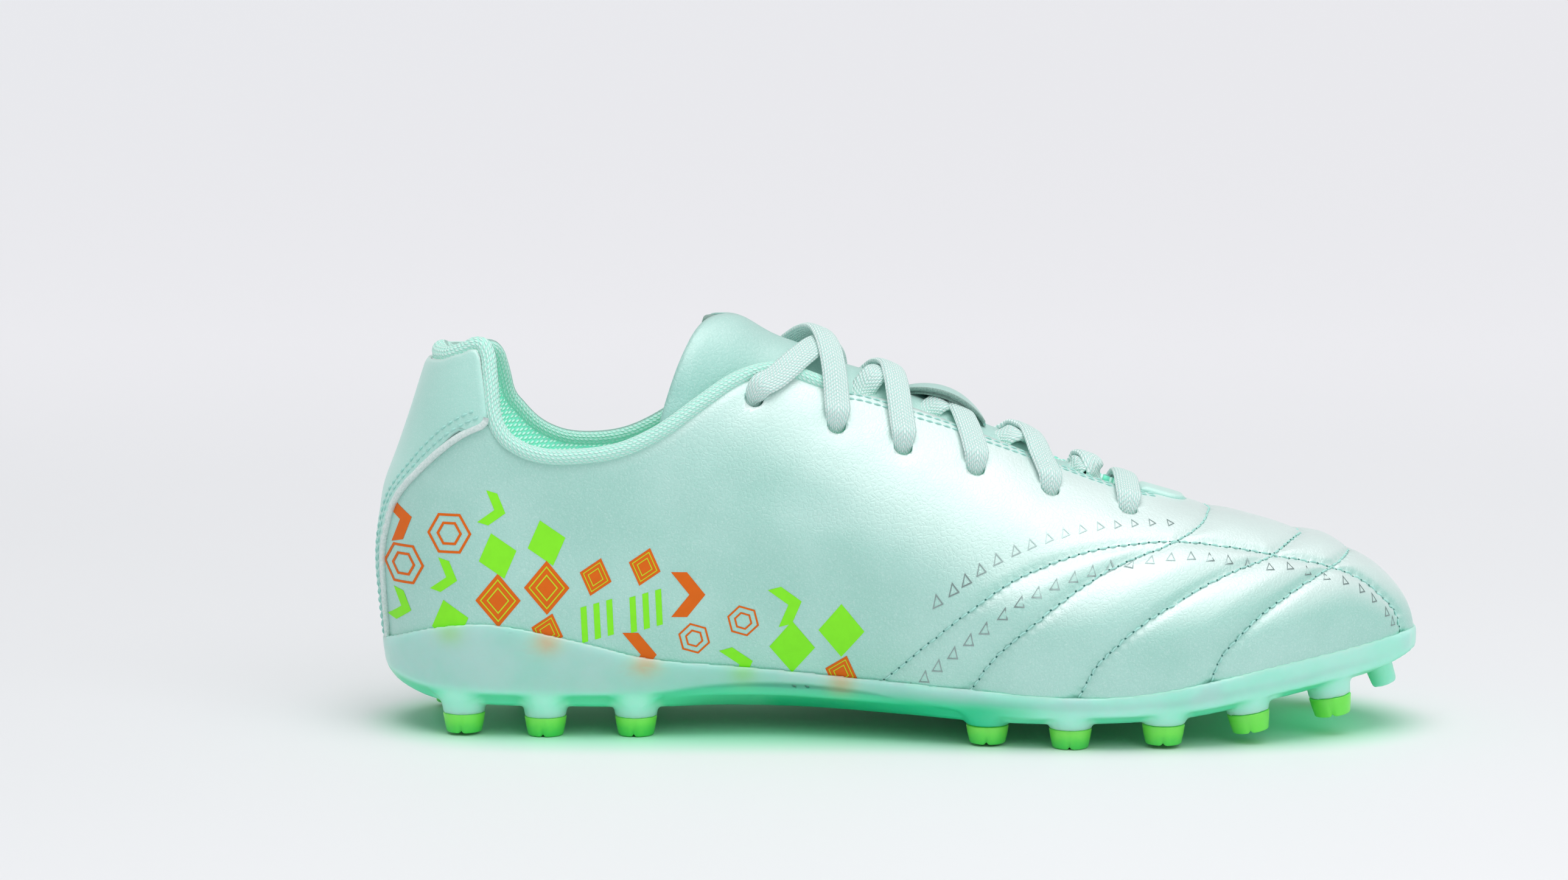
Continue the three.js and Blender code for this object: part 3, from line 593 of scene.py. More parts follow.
def swept(path, normals, section):
    """A tube of the section [across, up] along path; the section may change along it."""
    along = unit(np.gradient(path, axis=0))
    across = unit(np.cross(along, normals))
    up = np.cross(across, along)
    count = section.shape[-2]
    wide = np.broadcast_to(section, (len(path), count, 2))
    points = path[:, None] + across[:, None] * wide[..., :1] + up[:, None] * wide[..., 1:]
    faces = [list(f) for f in grid_faces(len(path), count, closed=True)]
    faces.append(list(range(count)))
    faces.append(list(range(len(path) * count - 1, (len(path) - 1) * count - 1, -1)))
    u = np.repeat(run_length(path)[:, None], count, axis=1)
    v = np.repeat(wide[:1, :, 0], len(path), axis=0)
    return points.reshape(-1, 3), faces, np.stack([u, v], -1).reshape(-1, 2)


# Materials
def linear(red, green, blue):
    """A colour given in the usual 0 to 255 screen values."""
    def one(v):
        v = v / 255
        return v / 12.92 if v <= 0.04045 else ((v + 0.055) / 1.055) ** 2.4
    return (one(red), one(green), one(blue), 1.0)


class Look:
    """A material and short ways to add its nodes."""

    def __init__(self, name, color, roughness, **values):
        self.material = bpy.data.materials.new(name)
        self.material.use_nodes = True
        self.tree = self.material.node_tree
        self.surface = self.tree.nodes["Principled BSDF"]
        self.surface.inputs["Base Color"].default_value = color
        self.surface.inputs["Roughness"].default_value = roughness
        for key, value in values.items():
            self.surface.inputs[key.replace("_", " ")].default_value = value

    def plug(self, socket, value):
        if isinstance(value, bpy.types.NodeSocket):
            self.tree.links.new(value, socket)
        else:
            socket.default_value = value

    def node(self, kind, inputs=None, **properties):
        made = self.tree.nodes.new(kind)
        for key, value in properties.items():
            setattr(made, key, value)
        for key, value in (inputs or {}).items():
            self.plug(made.inputs[key], value)
        return made

    def place(self):
        return self.node("ShaderNodeTexCoord").outputs["Object"]

    def weave(self):
        return self.node("ShaderNodeUVMap", uv_map="weave").outputs["UV"]

    def noise(self, vector, scale, detail=3.0, roughness=0.55, distortion=0.0):
        inputs = {
            "Vector": vector, "Scale": scale, "Detail": detail,
            "Roughness": roughness, "Distortion": distortion,
        }
        return self.node("ShaderNodeTexNoise", inputs).outputs["Fac"]

    def cells(self, vector, scale, random=1.0, feature="F1"):
        inputs = {"Vector": vector, "Scale": scale, "Randomness": random}
        return self.node("ShaderNodeTexVoronoi", inputs, feature=feature).outputs["Distance"]

    def math(self, operation, a, b=0.0, c=0.0):
        return self.node("ShaderNodeMath", {0: a, 1: b, 2: c}, operation=operation).outputs[0]

    def ramp(self, value, low, high, first=0.0, last=1.0):
        inputs = {
            "Value": value, "From Min": low, "From Max": high, "To Min": first, "To Max": last,
        }
        return self.node("ShaderNodeMapRange", inputs, interpolation_type="SMOOTHSTEP").outputs[0]

    def mix(self, factor, a, b):
        made = self.node("ShaderNodeMix", data_type="RGBA")
        sockets = [s for s in made.inputs if s.enabled]
        for socket, value in zip(sockets, (factor, a, b)):
            self.plug(socket, value)
        return next(o for o in made.outputs if o.enabled)

    def bump(self, height, strength, distance, below=None):
        inputs = {"Height": height, "Strength": strength, "Distance": distance}
        if below is not None:
            inputs["Normal"] = below
        return self.node("ShaderNodeBump", inputs).outputs["Normal"]

    def use(self, **sockets):
        for key, value in sockets.items():
            self.tree.links.new(value, self.surface.inputs[key.replace("_", " ")])
        return self.material


def grained(look, scale, strength, distance=0.00012):
    """Leather grain: small cells with folded borders over a finer noise."""
    at = look.place()
    wander = look.noise(at, scale * 0.5, 2.0)
    shift = look.node("ShaderNodeVectorMath", {0: wander, "Scale": 0.0014}, operation="SCALE")
    moved = look.node("ShaderNodeVectorMath", {0: at, 1: shift.outputs[0]}, operation="ADD")
    border = look.cells(moved.outputs[0], scale, 1.0, "DISTANCE_TO_EDGE")
    crease = look.ramp(border, 0.0, 0.22)
    fine = look.noise(at, scale * 2.6, 4.0, 0.6)
    return look.bump(look.math("MULTIPLY_ADD", fine, 0.35, crease), strength, distance)


def leather_look(name, color, shade, roughness, metallic, grain, scale=850, painted_highlight=0.3):
    look = Look(
        name, color, roughness, Metallic=metallic, Coat_Weight=0.6, Coat_Roughness=0.34,
        Specular_IOR_Level=0.5, Sheen_Weight=0.12, Sheen_Roughness=0.4,
    )
    cloud = look.noise(look.place(), 32, 3.0)
    tint = look.mix(look.ramp(cloud, 0.35, 0.7), shade, color)
    fine = look.noise(look.place(), 2600, 2.0)
    tint = look.mix(look.ramp(fine, 0.45, 0.8, 0.0, 0.25), tint, linear(236, 250, 247))
    # Painted highlight: surfaces that face up are mixed towards a pale mint, as the overhead light
    # would brighten them
    facing = look.node("ShaderNodeNewGeometry").outputs["Normal"]
    up = look.node("ShaderNodeSeparateXYZ", {"Vector": facing}).outputs["Z"]
    tint = look.mix(look.ramp(up, 0.18, 0.78, 0.0, painted_highlight), tint, linear(232, 242, 240))
    wear = look.noise(look.place(), 90, 3.0)
    gloss = look.ramp(wear, 0.3, 0.7, roughness - 0.05, roughness + 0.06)
    return look.use(Base_Color=tint, Roughness=gloss, Normal=grained(look, scale, grain))


def knit_look(name, bright, deep, across, along, strength, distance, painted_glow=0.0):
    """Round stitches in staggered rows on a UV map in millimetres, and an optional painted glow."""
    look = Look(name, bright, 0.75, Sheen_Weight=0.3, Sheen_Roughness=0.5)
    uv = look.node("ShaderNodeSeparateXYZ", {"Vector": look.weave()})
    u = look.math("DIVIDE", uv.outputs["X"], along)
    v = look.math("DIVIDE", uv.outputs["Y"], across)
    u = look.math("ADD", u, look.math("MULTIPLY", v, 0.5))
    grid = look.node("ShaderNodeCombineXYZ", {"X": u, "Y": v}).outputs[0]
    cell = look.cells(grid, 1.0, 0.18)
    loop = look.ramp(cell, 0.55, 0.12)
    thread = look.noise(look.place(), 5200, 2.0)
    height = look.math("MULTIPLY_ADD", thread, 0.25, loop)
    tint = look.mix(look.ramp(loop, 0.1, 0.75), deep, bright)
    # Emission paints a glow of light onto the knit, though it is no lamp
    if painted_glow:
        look.surface.inputs["Emission Strength"].default_value = painted_glow
        look.use(Emission_Color=tint)
    return look.use(Base_Color=tint, Normal=look.bump(height, strength, distance))


def braid_look(name, bright, deep):
    """Chevrons of a flat braid, on a UV map in millimetres."""
    look = Look(name, bright, 0.8, Sheen_Weight=0.35, Sheen_Roughness=0.45)
    uv = look.node("ShaderNodeSeparateXYZ", {"Vector": look.weave()})
    v = look.math("ABSOLUTE", uv.outputs["Y"])
    slant = look.math("MULTIPLY", v, 0.75)
    u = look.math("ADD", look.math("DIVIDE", uv.outputs["X"], 1.05), slant)
    grid = look.node("ShaderNodeCombineXYZ", {"X": u, "Y": look.math("DIVIDE", v, 0.62)})
    cell = look.cells(grid.outputs[0], 1.0, 0.12)
    loop = look.ramp(cell, 0.58, 0.15)
    thread = look.noise(look.place(), 6000, 2.0)
    height = look.math("MULTIPLY_ADD", thread, 0.2, loop)
    tint = look.mix(look.ramp(loop, 0.05, 0.6), deep, bright)
    return look.use(Base_Color=tint, Normal=look.bump(height, 0.8, 0.00035))


def cloth_look(name, color, shade, scale, strength):
    look = Look(name, color, 0.9, Sheen_Weight=0.3)
    fibre = look.noise(look.place(), scale, 4.0, 0.65)
    tint = look.mix(look.ramp(fibre, 0.3, 0.7), shade, color)
    return look.use(Base_Color=tint, Normal=look.bump(fibre, strength, 0.0004))


def plain_look(name, color, roughness, vary=0.08, **values):
    look = Look(name, color, roughness, **values)
    cloud = look.noise(look.place(), 420, 3.0)
    darker = tuple(c * (1 - vary) for c in color[:3]) + (1.0,)
    tint = look.mix(look.ramp(cloud, 0.35, 0.65), darker, color)
    return look.use(Base_Color=tint, Normal=look.bump(cloud, 0.15, 0.0001))


def sole_look():
    look = Look(
        "cloudy_sole", linear(172, 250, 220), 0.34, Subsurface_Weight=0.8,
        Subsurface_Scale=0.006, Coat_Weight=0.25, Coat_Roughness=0.22, IOR=1.48,
    )
    look.surface.inputs["Subsurface Radius"].default_value = (0.45, 1.0, 0.85)
    # deep is painted shade: dark teal on the steps and recesses and under the waist, where the sole
    # lies in shade
    deep = look.node("ShaderNodeAttribute", attribute_name="deep").outputs["Fac"]
    glow = look.node("ShaderNodeAttribute", attribute_name="glow").outputs["Fac"]
    cloud = look.noise(look.place(), 60, 3.0)
    tint = look.mix(look.ramp(cloud, 0.3, 0.7), linear(164, 250, 216), linear(180, 253, 226))
    tint = look.mix(deep, tint, linear(30, 206, 152))
    tint = look.mix(glow, tint, linear(228, 156, 96))
    lime = look.node("ShaderNodeAttribute", attribute_name="lime").outputs["Fac"]
    tint = look.mix(lime, tint, linear(160, 244, 120))
    rough = look.ramp(look.noise(look.place(), 240, 3.0), 0.3, 0.7, 0.28, 0.42)
    return look.use(Base_Color=tint, Roughness=rough, Normal=look.bump(cloud, 0.05, 0.0002))


def tip_look():
    look = Look(
        "green_tip", linear(80, 220, 80), 0.38, Subsurface_Weight=0.7, Subsurface_Scale=0.003,
        Coat_Weight=0.2, Coat_Roughness=0.25,
    )
    look.surface.inputs["Subsurface Radius"].default_value = (0.6, 1.0, 0.4)
    height = look.node("ShaderNodeSeparateXYZ", {"Vector": look.place()}).outputs["Z"]
    cloud = look.noise(look.place(), 300, 3.0)
    high = look.math("ADD", height, look.math("MULTIPLY", cloud, 0.003))
    tint = look.mix(look.ramp(high, 0.0015, 0.006), linear(66, 212, 84), linear(120, 232, 84))
    return look.use(Base_Color=tint, Normal=look.bump(cloud, 0.08, 0.0002))


MINT = linear(175, 221, 211)
MINT_SHADE = linear(161, 213, 201)
LOOKS = {
    "upper": leather_look(
        "pearl_leather_painted_highlight", MINT, MINT_SHADE, 0.43, 0.16, 0.34, 850, 0.74),
    "counter": leather_look(
        "matt_leather", linear(178, 230, 218), linear(170, 223, 211), 0.55, 0.05, 0.16, 1300),
    # The tongue's leather is the upper's mint made darker: painted shade, where little of the
    # overhead light falls
    "tongue": leather_look(
        "tongue_leather_painted_shade", linear(141, 202, 190), linear(132, 195, 182), 0.52, 0.06, 0.34, 700),
    # The last number is emission, a faint painted glow on the roll
    "roll": knit_look(
        "knit_roll", linear(214, 250, 240), linear(176, 236, 220), 0.85, 1.25, 0.8, 0.0004, 0.06),
    # Paler colour and emission paint light onto the lining, which is shaded inside the shoe's
    # opening
    "lining": knit_look(
        "mesh_lining", linear(208, 255, 240), linear(120, 226, 196), 1.15, 1.25, 0.9, 0.0006, 0.38),
    "lace": braid_look("flat_braid", linear(234, 252, 248), linear(196, 238, 230)),
    "felt": cloth_look("grey_felt", linear(150, 184, 174), linear(112, 148, 138), 2600, 0.6),
    "raw_edge": cloth_look("raw_edge", linear(226, 238, 236), linear(200, 222, 217), 1900, 0.5),
    "thread": plain_look("thread", linear(172, 226, 216), 0.6),
    # Painted shade: the dark inside needle holes and the keeper's slits, laid as flat discs and a
    # sheet
    "hole": plain_look("painted_hole_shade", linear(58, 118, 110), 0.9),
    "insole": cloth_look("insole_cloth", linear(120, 214, 186), linear(96, 196, 168), 1700, 0.5),
    "sole": sole_look(),
    "tip": tip_look(),
    "lime": plain_look("lime_ink", linear(138, 242, 40), 0.55, 0.03, Specular_IOR_Level=0.25),
    "orange": plain_look("orange_ink", linear(226, 104, 6), 0.55, 0.04, Specular_IOR_Level=0.25),
    "line": plain_look("yellow_line", linear(196, 222, 40), 0.55, 0.04, Specular_IOR_Level=0.25),
    "silver": plain_look("silver_ink", linear(152, 172, 170), 0.32, 0.1, Metallic=0.7),
}


# Stations along one side, closer together at the ends and over the quilting
def side_stations(heel, stretches, toe):
    """Stretches are (end in millimetres, count) between the rounded heel and toe."""
    x = HEEL_ROUND * (1 - np.cos(np.linspace(0, np.pi / 2, heel)))
    for end, count in stretches:
        x = np.append(x, np.linspace(x[-1], end, count)[1:])
    turn = np.linspace(0, np.pi / 2, toe)[1:]
    return np.append(x, LAST_LENGTH - TOE_ROUND + TOE_ROUND * np.sin(turn)) / LAST_LENGTH


def stations():
    at = side_stations(25, [(VAMP_START, 66), (LAST_LENGTH - TOE_ROUND, 84)], 96)
    return np.unique(np.append(at, THROAT_END))


def ring_columns(at):
    """Round the shoe: inner side from heel to toe, then the outer side back."""
    return (
        np.concatenate([at, at[-2:0:-1]]),
        np.concatenate([-np.ones(len(at)), np.ones(len(at) - 2)]).astype(int),
    )


def crest_weld(at, rows):
    """Indices in which the outer crest corners become the inner ones."""
    columns = len(at)
    same = np.arange(rows * columns)
    half = (columns + 2) // 2
    for i in range(half, columns):
        if at[i] >= THROAT_END:
            same[(rows - 1) * columns + i] = (rows - 1) * columns + (columns - i)
    return same


def upper_piece():
    at, side = ring_columns(stations())
    columns = len(at)
    top = top_edge(at, side)
    rows = 88
    share = np.linspace(0, 1, rows)[:, None]
    t = share * top
    grid_at = np.broadcast_to(at, t.shape)
    grid_side = np.broadcast_to(side, t.shape)
    base = last_point(grid_at, grid_side, t)
    faces = crest_weld(at, rows)[grid_faces(rows, columns, closed=True)]
    points = base.reshape(-1, 3)
    normals = vertex_normals(points, faces)
    lift = relief(grid_at, grid_side, t, base).reshape(-1)
    outer = points + normals * lift[:, None]
    inner_rows = np.unique(np.round(np.linspace(0, rows - 1, 23)).astype(int))
    picked = (inner_rows[:, None] * columns + np.arange(columns)).reshape(-1)
    x = (grid_at * LAST_LENGTH).reshape(-1)[picked]
    z = points[picked, 2]
    below = ((top - t) * 100).reshape(-1)[picked]
    pad = smooth(0, 9, below) * smooth(46, 26, below) * smooth(108, 84, x)
    inner = points[picked] - normals[picked] * (UPPER_WALL + COLLAR_PADDING * pad)[:, None]
    count = len(outer)
    inner_faces = grid_faces(len(inner_rows), columns, closed=True)
    inner_faces = crest_weld(at, len(inner_rows))[inner_faces[:, ::-1]] + count
    ends = []
    for k in range(columns):
        n = (k + 1) % columns
        ends.append([k, n, count + n, count + k])
        if min(at[k], at[n]) < THROAT_END:
            a = (rows - 1) * columns
            b = count + (len(inner_rows) - 1) * columns
            ends.append([a + n, a + k, b + k, b + n])
    all_points = np.concatenate([outer, inner])
    all_faces = np.concatenate([faces, inner_faces, np.array(ends)])
    u = np.tile(run_length(points[:columns]), rows + len(inner_rows))
    v = np.concatenate([points[:, 2], z])
    slots = np.concatenate([np.zeros(len(faces)), np.ones(len(inner_faces) + len(ends))])
    piece = make_object(
        "upper_leather", all_points, all_faces, [LOOKS["upper"], LOOKS["lining"]],
        slots, np.stack([u, v], -1),
    )
    tidy_mesh(piece)
    bore_eyelets(piece)
    dress(piece, ["upper"])
    return piece


def tidy_mesh(obj):
    """Merges corners that lie on each other, drops loose ones and turns faces outward."""
    work = bmesh.new()
    work.from_mesh(obj.data)
    bmesh.ops.remove_doubles(work, verts=work.verts, dist=0.000004)
    loose = [v for v in work.verts if not v.link_faces]
    bmesh.ops.delete(work, geom=loose, context="VERTS")
    bmesh.ops.recalc_face_normals(work, faces=work.faces)
    work.to_mesh(obj.data)
    work.free()


def bore_eyelets(piece):
    """Cuts the eyelets through the wall."""
    rods = Parts()
    round_ = circle(20) * EYELET_BORE / 2
    for side in (-1, 1):
        for at, t in EYELETS:
            centre = last_point(at, side, t)
            normal = last_normal(at, side, t)
            path = centre + normal * np.linspace(-8, 6, 8)[:, None]
            points, faces, _ = swept(path, np.broadcast_to([1.0, 0, 0.2], path.shape), round_)
            rods.add(points, faces)
    tool = rods.build("eyelet_rods", [LOOKS["raw_edge"]])
    tidy_mesh(tool)
    cut = piece.modifiers.new("eyelets", "BOOLEAN")
    cut.operation = "DIFFERENCE"
    cut.solver = "EXACT"
    cut.object = tool
    apply_modifiers(piece)
    bpy.data.objects.remove(tool)


upper = upper_piece()


class Skin:
    """The finished surface of a piece, in millimetres, to lay other things on."""

    def __init__(self, obj):
        points = [tuple(v.co / MM + Vector(ORIGIN)) for v in obj.data.vertices]
        faces = [tuple(f.vertices) for f in obj.data.polygons]
        self.tree = BVHTree.FromPolygons(points, faces)

    def nearest(self, points, out=0.0):
        places = []
        normals = []
        for p in np.asarray(points, float).reshape(-1, 3):
            place, normal, _, _ = self.tree.find_nearest(p)
            places.append(np.array(place) + np.array(normal) * out)
            normals.append(normal)
        return np.array(places), np.array(normals, float)

    def seen(self, x, z, side, out):
        """The surface point that is seen from the inner or outer side, or None."""
        place, normal, _, _ = self.tree.ray_cast((x, side * 200.0, z), (0, -side, 0))
        if place is None:
            return None
        return np.array(place) + np.array(normal) * out


UPPER_SKIN = Skin(upper)


# Sole: a voxel body of plate, cup wall and stud feet, smoothed where they meet
def floor_outline(at, side, out):
    """The floor's outline moved outward in plan, for columns that go round the shoe."""
    p = last_point(at, side, np.zeros(len(at)))
    along = unit((np.roll(p, -1, 0) - np.roll(p, 1, 0)) * [1, 1, 0])
    normal = np.stack([along[:, 1], -along[:, 0], np.zeros(len(at))], -1)
    moved = p + normal * np.broadcast_to(out, len(at))[:, None]
    shift = (moved[:, 0] - p[:, 0]) / LAST_LENGTH
    moved[:, 2] = floor_height(at + shift)
    return moved


def level_parameter(at, side, height):
    """The section's parameter where the last reaches a height."""
    low = np.zeros(len(at))
    high = np.full(len(at), 0.6)
    for _ in range(24):
        mid = (low + high) / 2
        under = last_point(at, side, mid)[:, 2] < height
        low = np.where(under, mid, low)
        high = np.where(under, high, mid)
    return (low + high) / 2


TOE_LEVEL = 0.990


def sole_columns():
    return ring_columns(side_stations(17, [(LAST_LENGTH - TOE_ROUND, 76)], 40))


def outline_sides(out):
    """The moved outline's inner and outer side, each from heel to toe."""
    at, side = sole_columns()
    line = floor_outline(at, side, out)
    half = (len(at) + 2) // 2
    return line[:half], np.concatenate([line[half - 1:], line[:1]])[::-1]


def lathe(profile, sides):
    profile = np.asarray(profile, float)[:, None]
    heights = np.repeat(profile[..., 1:], sides, axis=1)
    rings = np.concatenate([profile[..., :1] * circle(sides), heights], -1)
    faces = [list(f) for f in grid_faces(len(profile), sides, closed=True)]
    faces.append(list(range(sides - 1, -1, -1)))
    faces.append(list(range((len(profile) - 1) * sides, len(profile) * sides)))
    return rings.reshape(-1, 3), faces


def stud_centre(at, side, width):
    step = 0.004
    along = unit((last_point(at + step, side, 0.0) - last_point(at - step, side, 0.0)) * [1, 1, 0])
    inward = np.array([-along[1], along[0], 0]) * -side
    centre = last_point(at, side, 0.0) + inward * (width / 2 + STUD_EDGE_MARGIN - CUP_WALL)
    centre[2] = 0
    return centre


def stud_place(points, at, lift, centre):
    """Turns a stud with the plate, where it doesn't stand on the ground, and places it."""
    step = 0.02
    slope = (plate_bottom(at + step) - plate_bottom(at - step)) / (2 * step * LAST_LENGTH)
    if lift > STANDING:
        angle = math.atan(slope)
        x = points[:, 0] * math.cos(angle) - points[:, 2] * math.sin(angle)
        z = points[:, 0] * math.sin(angle) + points[:, 2] * math.cos(angle)
        points = np.stack([x, points[:, 1], z], -1)
    return points + centre + [0, 0, TOE_SPRING * lift]


def stud_joint(at, lift):
    under = float(plate_bottom(at)) - TOE_SPRING * lift
    return under, min(STUD_TIP_HEIGHT, 0.8 * under)


def stud_foot(at, side, lift):
    under, joint = stud_joint(at, lift)
    radius = STUD_WIDTH / 2
    profile = [
        [radius, joint + 0.1],
        [radius * 1.01, joint + 0.4 * (under - joint)],
        [radius * 1.06, under - 0.3],
        [radius + 0.28 * STUD_FLARE, under + 0.3 * STUD_FLARE],
        [radius + STUD_FLARE, under + STUD_FLARE],
    ]
    points, faces = lathe(profile, 40)
    return stud_place(points, at, lift, stud_centre(at, side, STUD_WIDTH)), faces


def inside_outline(points):
    """Keeps points inside the sole's outline, seen from above."""
    inner, outer = outline_sides(CUP_WALL + CUP_GAP - FOOT_MARGIN)
    low = np.interp(points[:, 0], inner[:, 0], inner[:, 1])
    high = np.interp(points[:, 0], outer[:, 0], outer[:, 1])
    points = points.copy()
    points[:, 1] = np.clip(points[:, 1], np.minimum(low, high), np.maximum(low, high))
    points[:, 0] = np.clip(points[:, 0], inner[0, 0], inner[-1, 0])
    return points


def round_the_toe(ring, at, side, out):
    """Carries a wall's ring round the toe, where the last's sections shrink to a point."""
    plan = floor_outline(at, side, out)
    near = np.flatnonzero(at > TOE_LEVEL)
    first, last = near[0] - 1, near[-1] + 1
    share = ((near - first) / (last - first))[:, None]
    step = (1 - share) * (ring[first] - plan[first]) + share * (ring[last] - plan[last])
    fixed = ring.copy()
    fixed[near] = plan[near]
    fixed[near, 0] += step[:, 0]
    fixed[near, 2] = (1 - share[:, 0]) * ring[first, 2] + share[:, 0] * ring[last, 2]
    return fixed


def toe_centre():
    centre = last_point(TOE_STUD[0], -1, 0.0)
    centre[1] = BALL_WIDTH * LAST("middle", TOE_STUD[0])
    centre[2] = 0
    return centre


def toe_foot():
    at, lift = TOE_STUD
    under = float(plate_bottom(at)) - TOE_SPRING * lift
    radius = TOE_STUD_WIDTH / 2
    profile = [
        [radius * STUD_TAPER - 0.4, 0],
        [radius * STUD_TAPER, 0.4],
        [radius, under],
        [radius + 0.6 * STUD_FLARE, under + 0.8 * STUD_FLARE],
    ]
    points, faces = lathe(profile, 32)
    return stud_place(points, at, lift, toe_centre()), faces


def sole_piece():
    at, side = sole_columns()
    reach = CUP_WALL + CUP_GAP
    depth = STEP_DEPTH * np.where(side < 0, SOLE("arch", at), SOLE("outer", at))
    bottom = plate_bottom(at)
    notch = np.minimum(step_top(at) - 0.12 * STEP_HEIGHT, floor_height(at) - CUP_WALL)
    rings = []

    def level(out, height):
        ring = floor_outline(at, side, out)
        ring[:, 2] = height
        rings.append(ring)

    level(reach - depth - STEP_DEPTH, bottom)
    level(reach - depth, bottom + 0.22 * STEP_HEIGHT)
    level(reach - STEP_DEPTH * SOLE("recess", at), notch)
    level(reach - 0.1, step_top(at))
    top = level_parameter(at, side, cup_top(at))
    first = level_parameter(at, side, np.maximum(step_top(at), floor_height(at)) + 0.6)
    for share in np.linspace(0, 1, 9):
        t = first + (top - first) * share
        out = reach if share < 1 else reach - 0.25
        wall = last_point(at, side, t) + ring_normals(at, side, t) * out
        rings.append(round_the_toe(wall, at, side, reach))
    for share in np.linspace(1, 0, 7):
        t = top * share
        wall = last_point(at, side, t) + ring_normals(at, side, t) * CUP_GAP
        rings.append(round_the_toe(wall, at, side, CUP_GAP))
    points = np.concatenate(rings)
    columns = len(at)
    faces = [list(f) for f in grid_faces(len(rings), columns, closed=True)]
    for base, order in ((0, 1), ((len(rings) - 1) * columns, -1)):
        for i in range((columns - 2) // 2):
            across = [(columns - i - 1) % columns, (columns - i) % columns]
            corners = dict.fromkeys([i, i + 1, *across])
            faces.append([base + corner for corner in corners][::order])
    body = Parts()
    body.add(points, faces)
    for _, stud_at, stud_side, lift in STUDS:
        foot, foot_faces = stud_foot(stud_at, stud_side, lift)
        body.add(inside_outline(foot), foot_faces)
    foot, foot_faces = toe_foot()
    body.add(inside_outline(foot), foot_faces)
    piece = body.build("sole_body", [LOOKS["sole"]])
    tidy_mesh(piece)
    remesh = piece.modifiers.new("voxels", "REMESH")
    remesh.mode = "VOXEL"
    remesh.voxel_size = SOLE_VOXEL * MM
    remesh.use_smooth_shade = True
    calm = piece.modifiers.new("calm", "SMOOTH")
    calm.factor = 0.5
    calm.iterations = 5
    thin = piece.modifiers.new("thin", "DECIMATE")
    thin.ratio = 0.3
    apply_modifiers(piece)
    piece.data.polygons.foreach_set("use_smooth", np.ones(len(piece.data.polygons), bool))
    sole_tints(piece)
    dress(piece, ["outsole"])


def ring_normals(at, side, t):
    """Outward directions for a ring round the shoe, also right at heel and toe."""
    p = last_point(at, side, t)
    up = last_point(at, side, t + 0.01) - p
    along = np.roll(p, -1, 0) - np.roll(p, 1, 0)
    return unit(np.cross(along, up))


# The quarter's print: motifs in staggered columns, fewer of them towards the waist
LIME, ORANGE, LINE = 0, 1, 2
PRINT_START = 8.0
PRINT_PITCH = 12.2
PRINT_ROW = 11.2
PRINT_COLUMNS = 10
PRINT_SIZE = 9.8
PRINT_TOP = ([8, 40, 80, 126], [60, 58, 44, 28])
PRINT_MOTIFS = [
    ("chevron", LIME), ("nest", ORANGE), ("bars", LIME), ("ring", ORANGE), ("kite", LIME),
    ("nest", ORANGE), ("chevron", ORANGE),
]


def print_places():
    """Motif, ink, millimetres along and up, size and turn in degrees of each print shape."""
    places = []
    for i in range(PRINT_COLUMNS):
        x = PRINT_START + PRINT_PITCH * i
        low = float(cup_top(x / LAST_LENGTH))
        z = low + PRINT_ROW * (0.05 if i % 2 else 0.55)
        top = np.interp(x, *PRINT_TOP)
        row = 0
        while z < top:
            motif, ink = PRINT_MOTIFS[(4 * i + 3 * row) % len(PRINT_MOTIFS)]
            size = PRINT_SIZE * (1 + 0.16 * ((i + 2 * row) % 3 - 1))
            turn = 16 * ((2 * i + row) % 3 - 1)
            places.append((motif, ink, x, z, size, turn))
            z += PRINT_ROW
            row += 1
    return places


GLOW_DROP = 2.6
GLOW_SIZE = 3.6


def sole_glows(ink):
    """Places where the print behind the cup wall shows through: millimetres along and up."""
    spots = []
    for _, color, x, z, _, _ in print_places():
        under = z - float(cup_top(x / LAST_LENGTH))
        if color == ink and under < 0.1 * PRINT_ROW:
            spots.append((x, z - GLOW_DROP))
    return spots


def sole_tints(piece):
    count = len(piece.data.vertices)
    co = np.zeros(count * 3, np.float32)
    piece.data.vertices.foreach_get("co", co)
    p = co.reshape(-1, 3) / MM + ORIGIN
    at = p[:, 0] / LAST_LENGTH
    bottom = plate_bottom(at)
    rise = p[:, 2] - bottom
    # Painted shade, kept as deep: dark teal below the step's top, off the stud feet, and low under
    # the waist
    deep = smooth(step_top(at) - bottom + 0.9, step_top(at) - bottom - 0.9, rise)
    centres = [stud_centre(stud_at, side, STUD_WIDTH) for _, stud_at, side, _ in STUDS]
    for centre in [*centres, toe_centre()]:
        away = np.hypot(p[:, 0] - centre[0], p[:, 1] - centre[1])
        deep = deep * smooth(STUD_WIDTH * 0.52, STUD_WIDTH * 0.78, away)
    deep = deep * smooth(-2.4, -0.6, rise)
    waist = smooth(84, 104, p[:, 0]) * smooth(176, 150, p[:, 0])
    under = smooth(8.0, 3.0, rise)
    deep = np.maximum(deep * 0.75, waist * under)
    tones = {"deep": deep}
    for name, spots in (("glow", sole_glows(ORANGE)), ("lime", sole_glows(LIME))):
        tones[name] = np.zeros(count)
        for x, z in spots:
            spot = bell(np.hypot(p[:, 0] - x, (p[:, 2] - z) * 1.2), GLOW_SIZE)
            tones[name] = np.maximum(tones[name], 0.6 * spot * smooth(5, 20, np.abs(p[:, 1])))
    for name, values in tones.items():
        layer = piece.data.attributes.new(name, "FLOAT", "POINT")
        layer.data.foreach_set("value", values.astype(np.float32))


sole_piece()


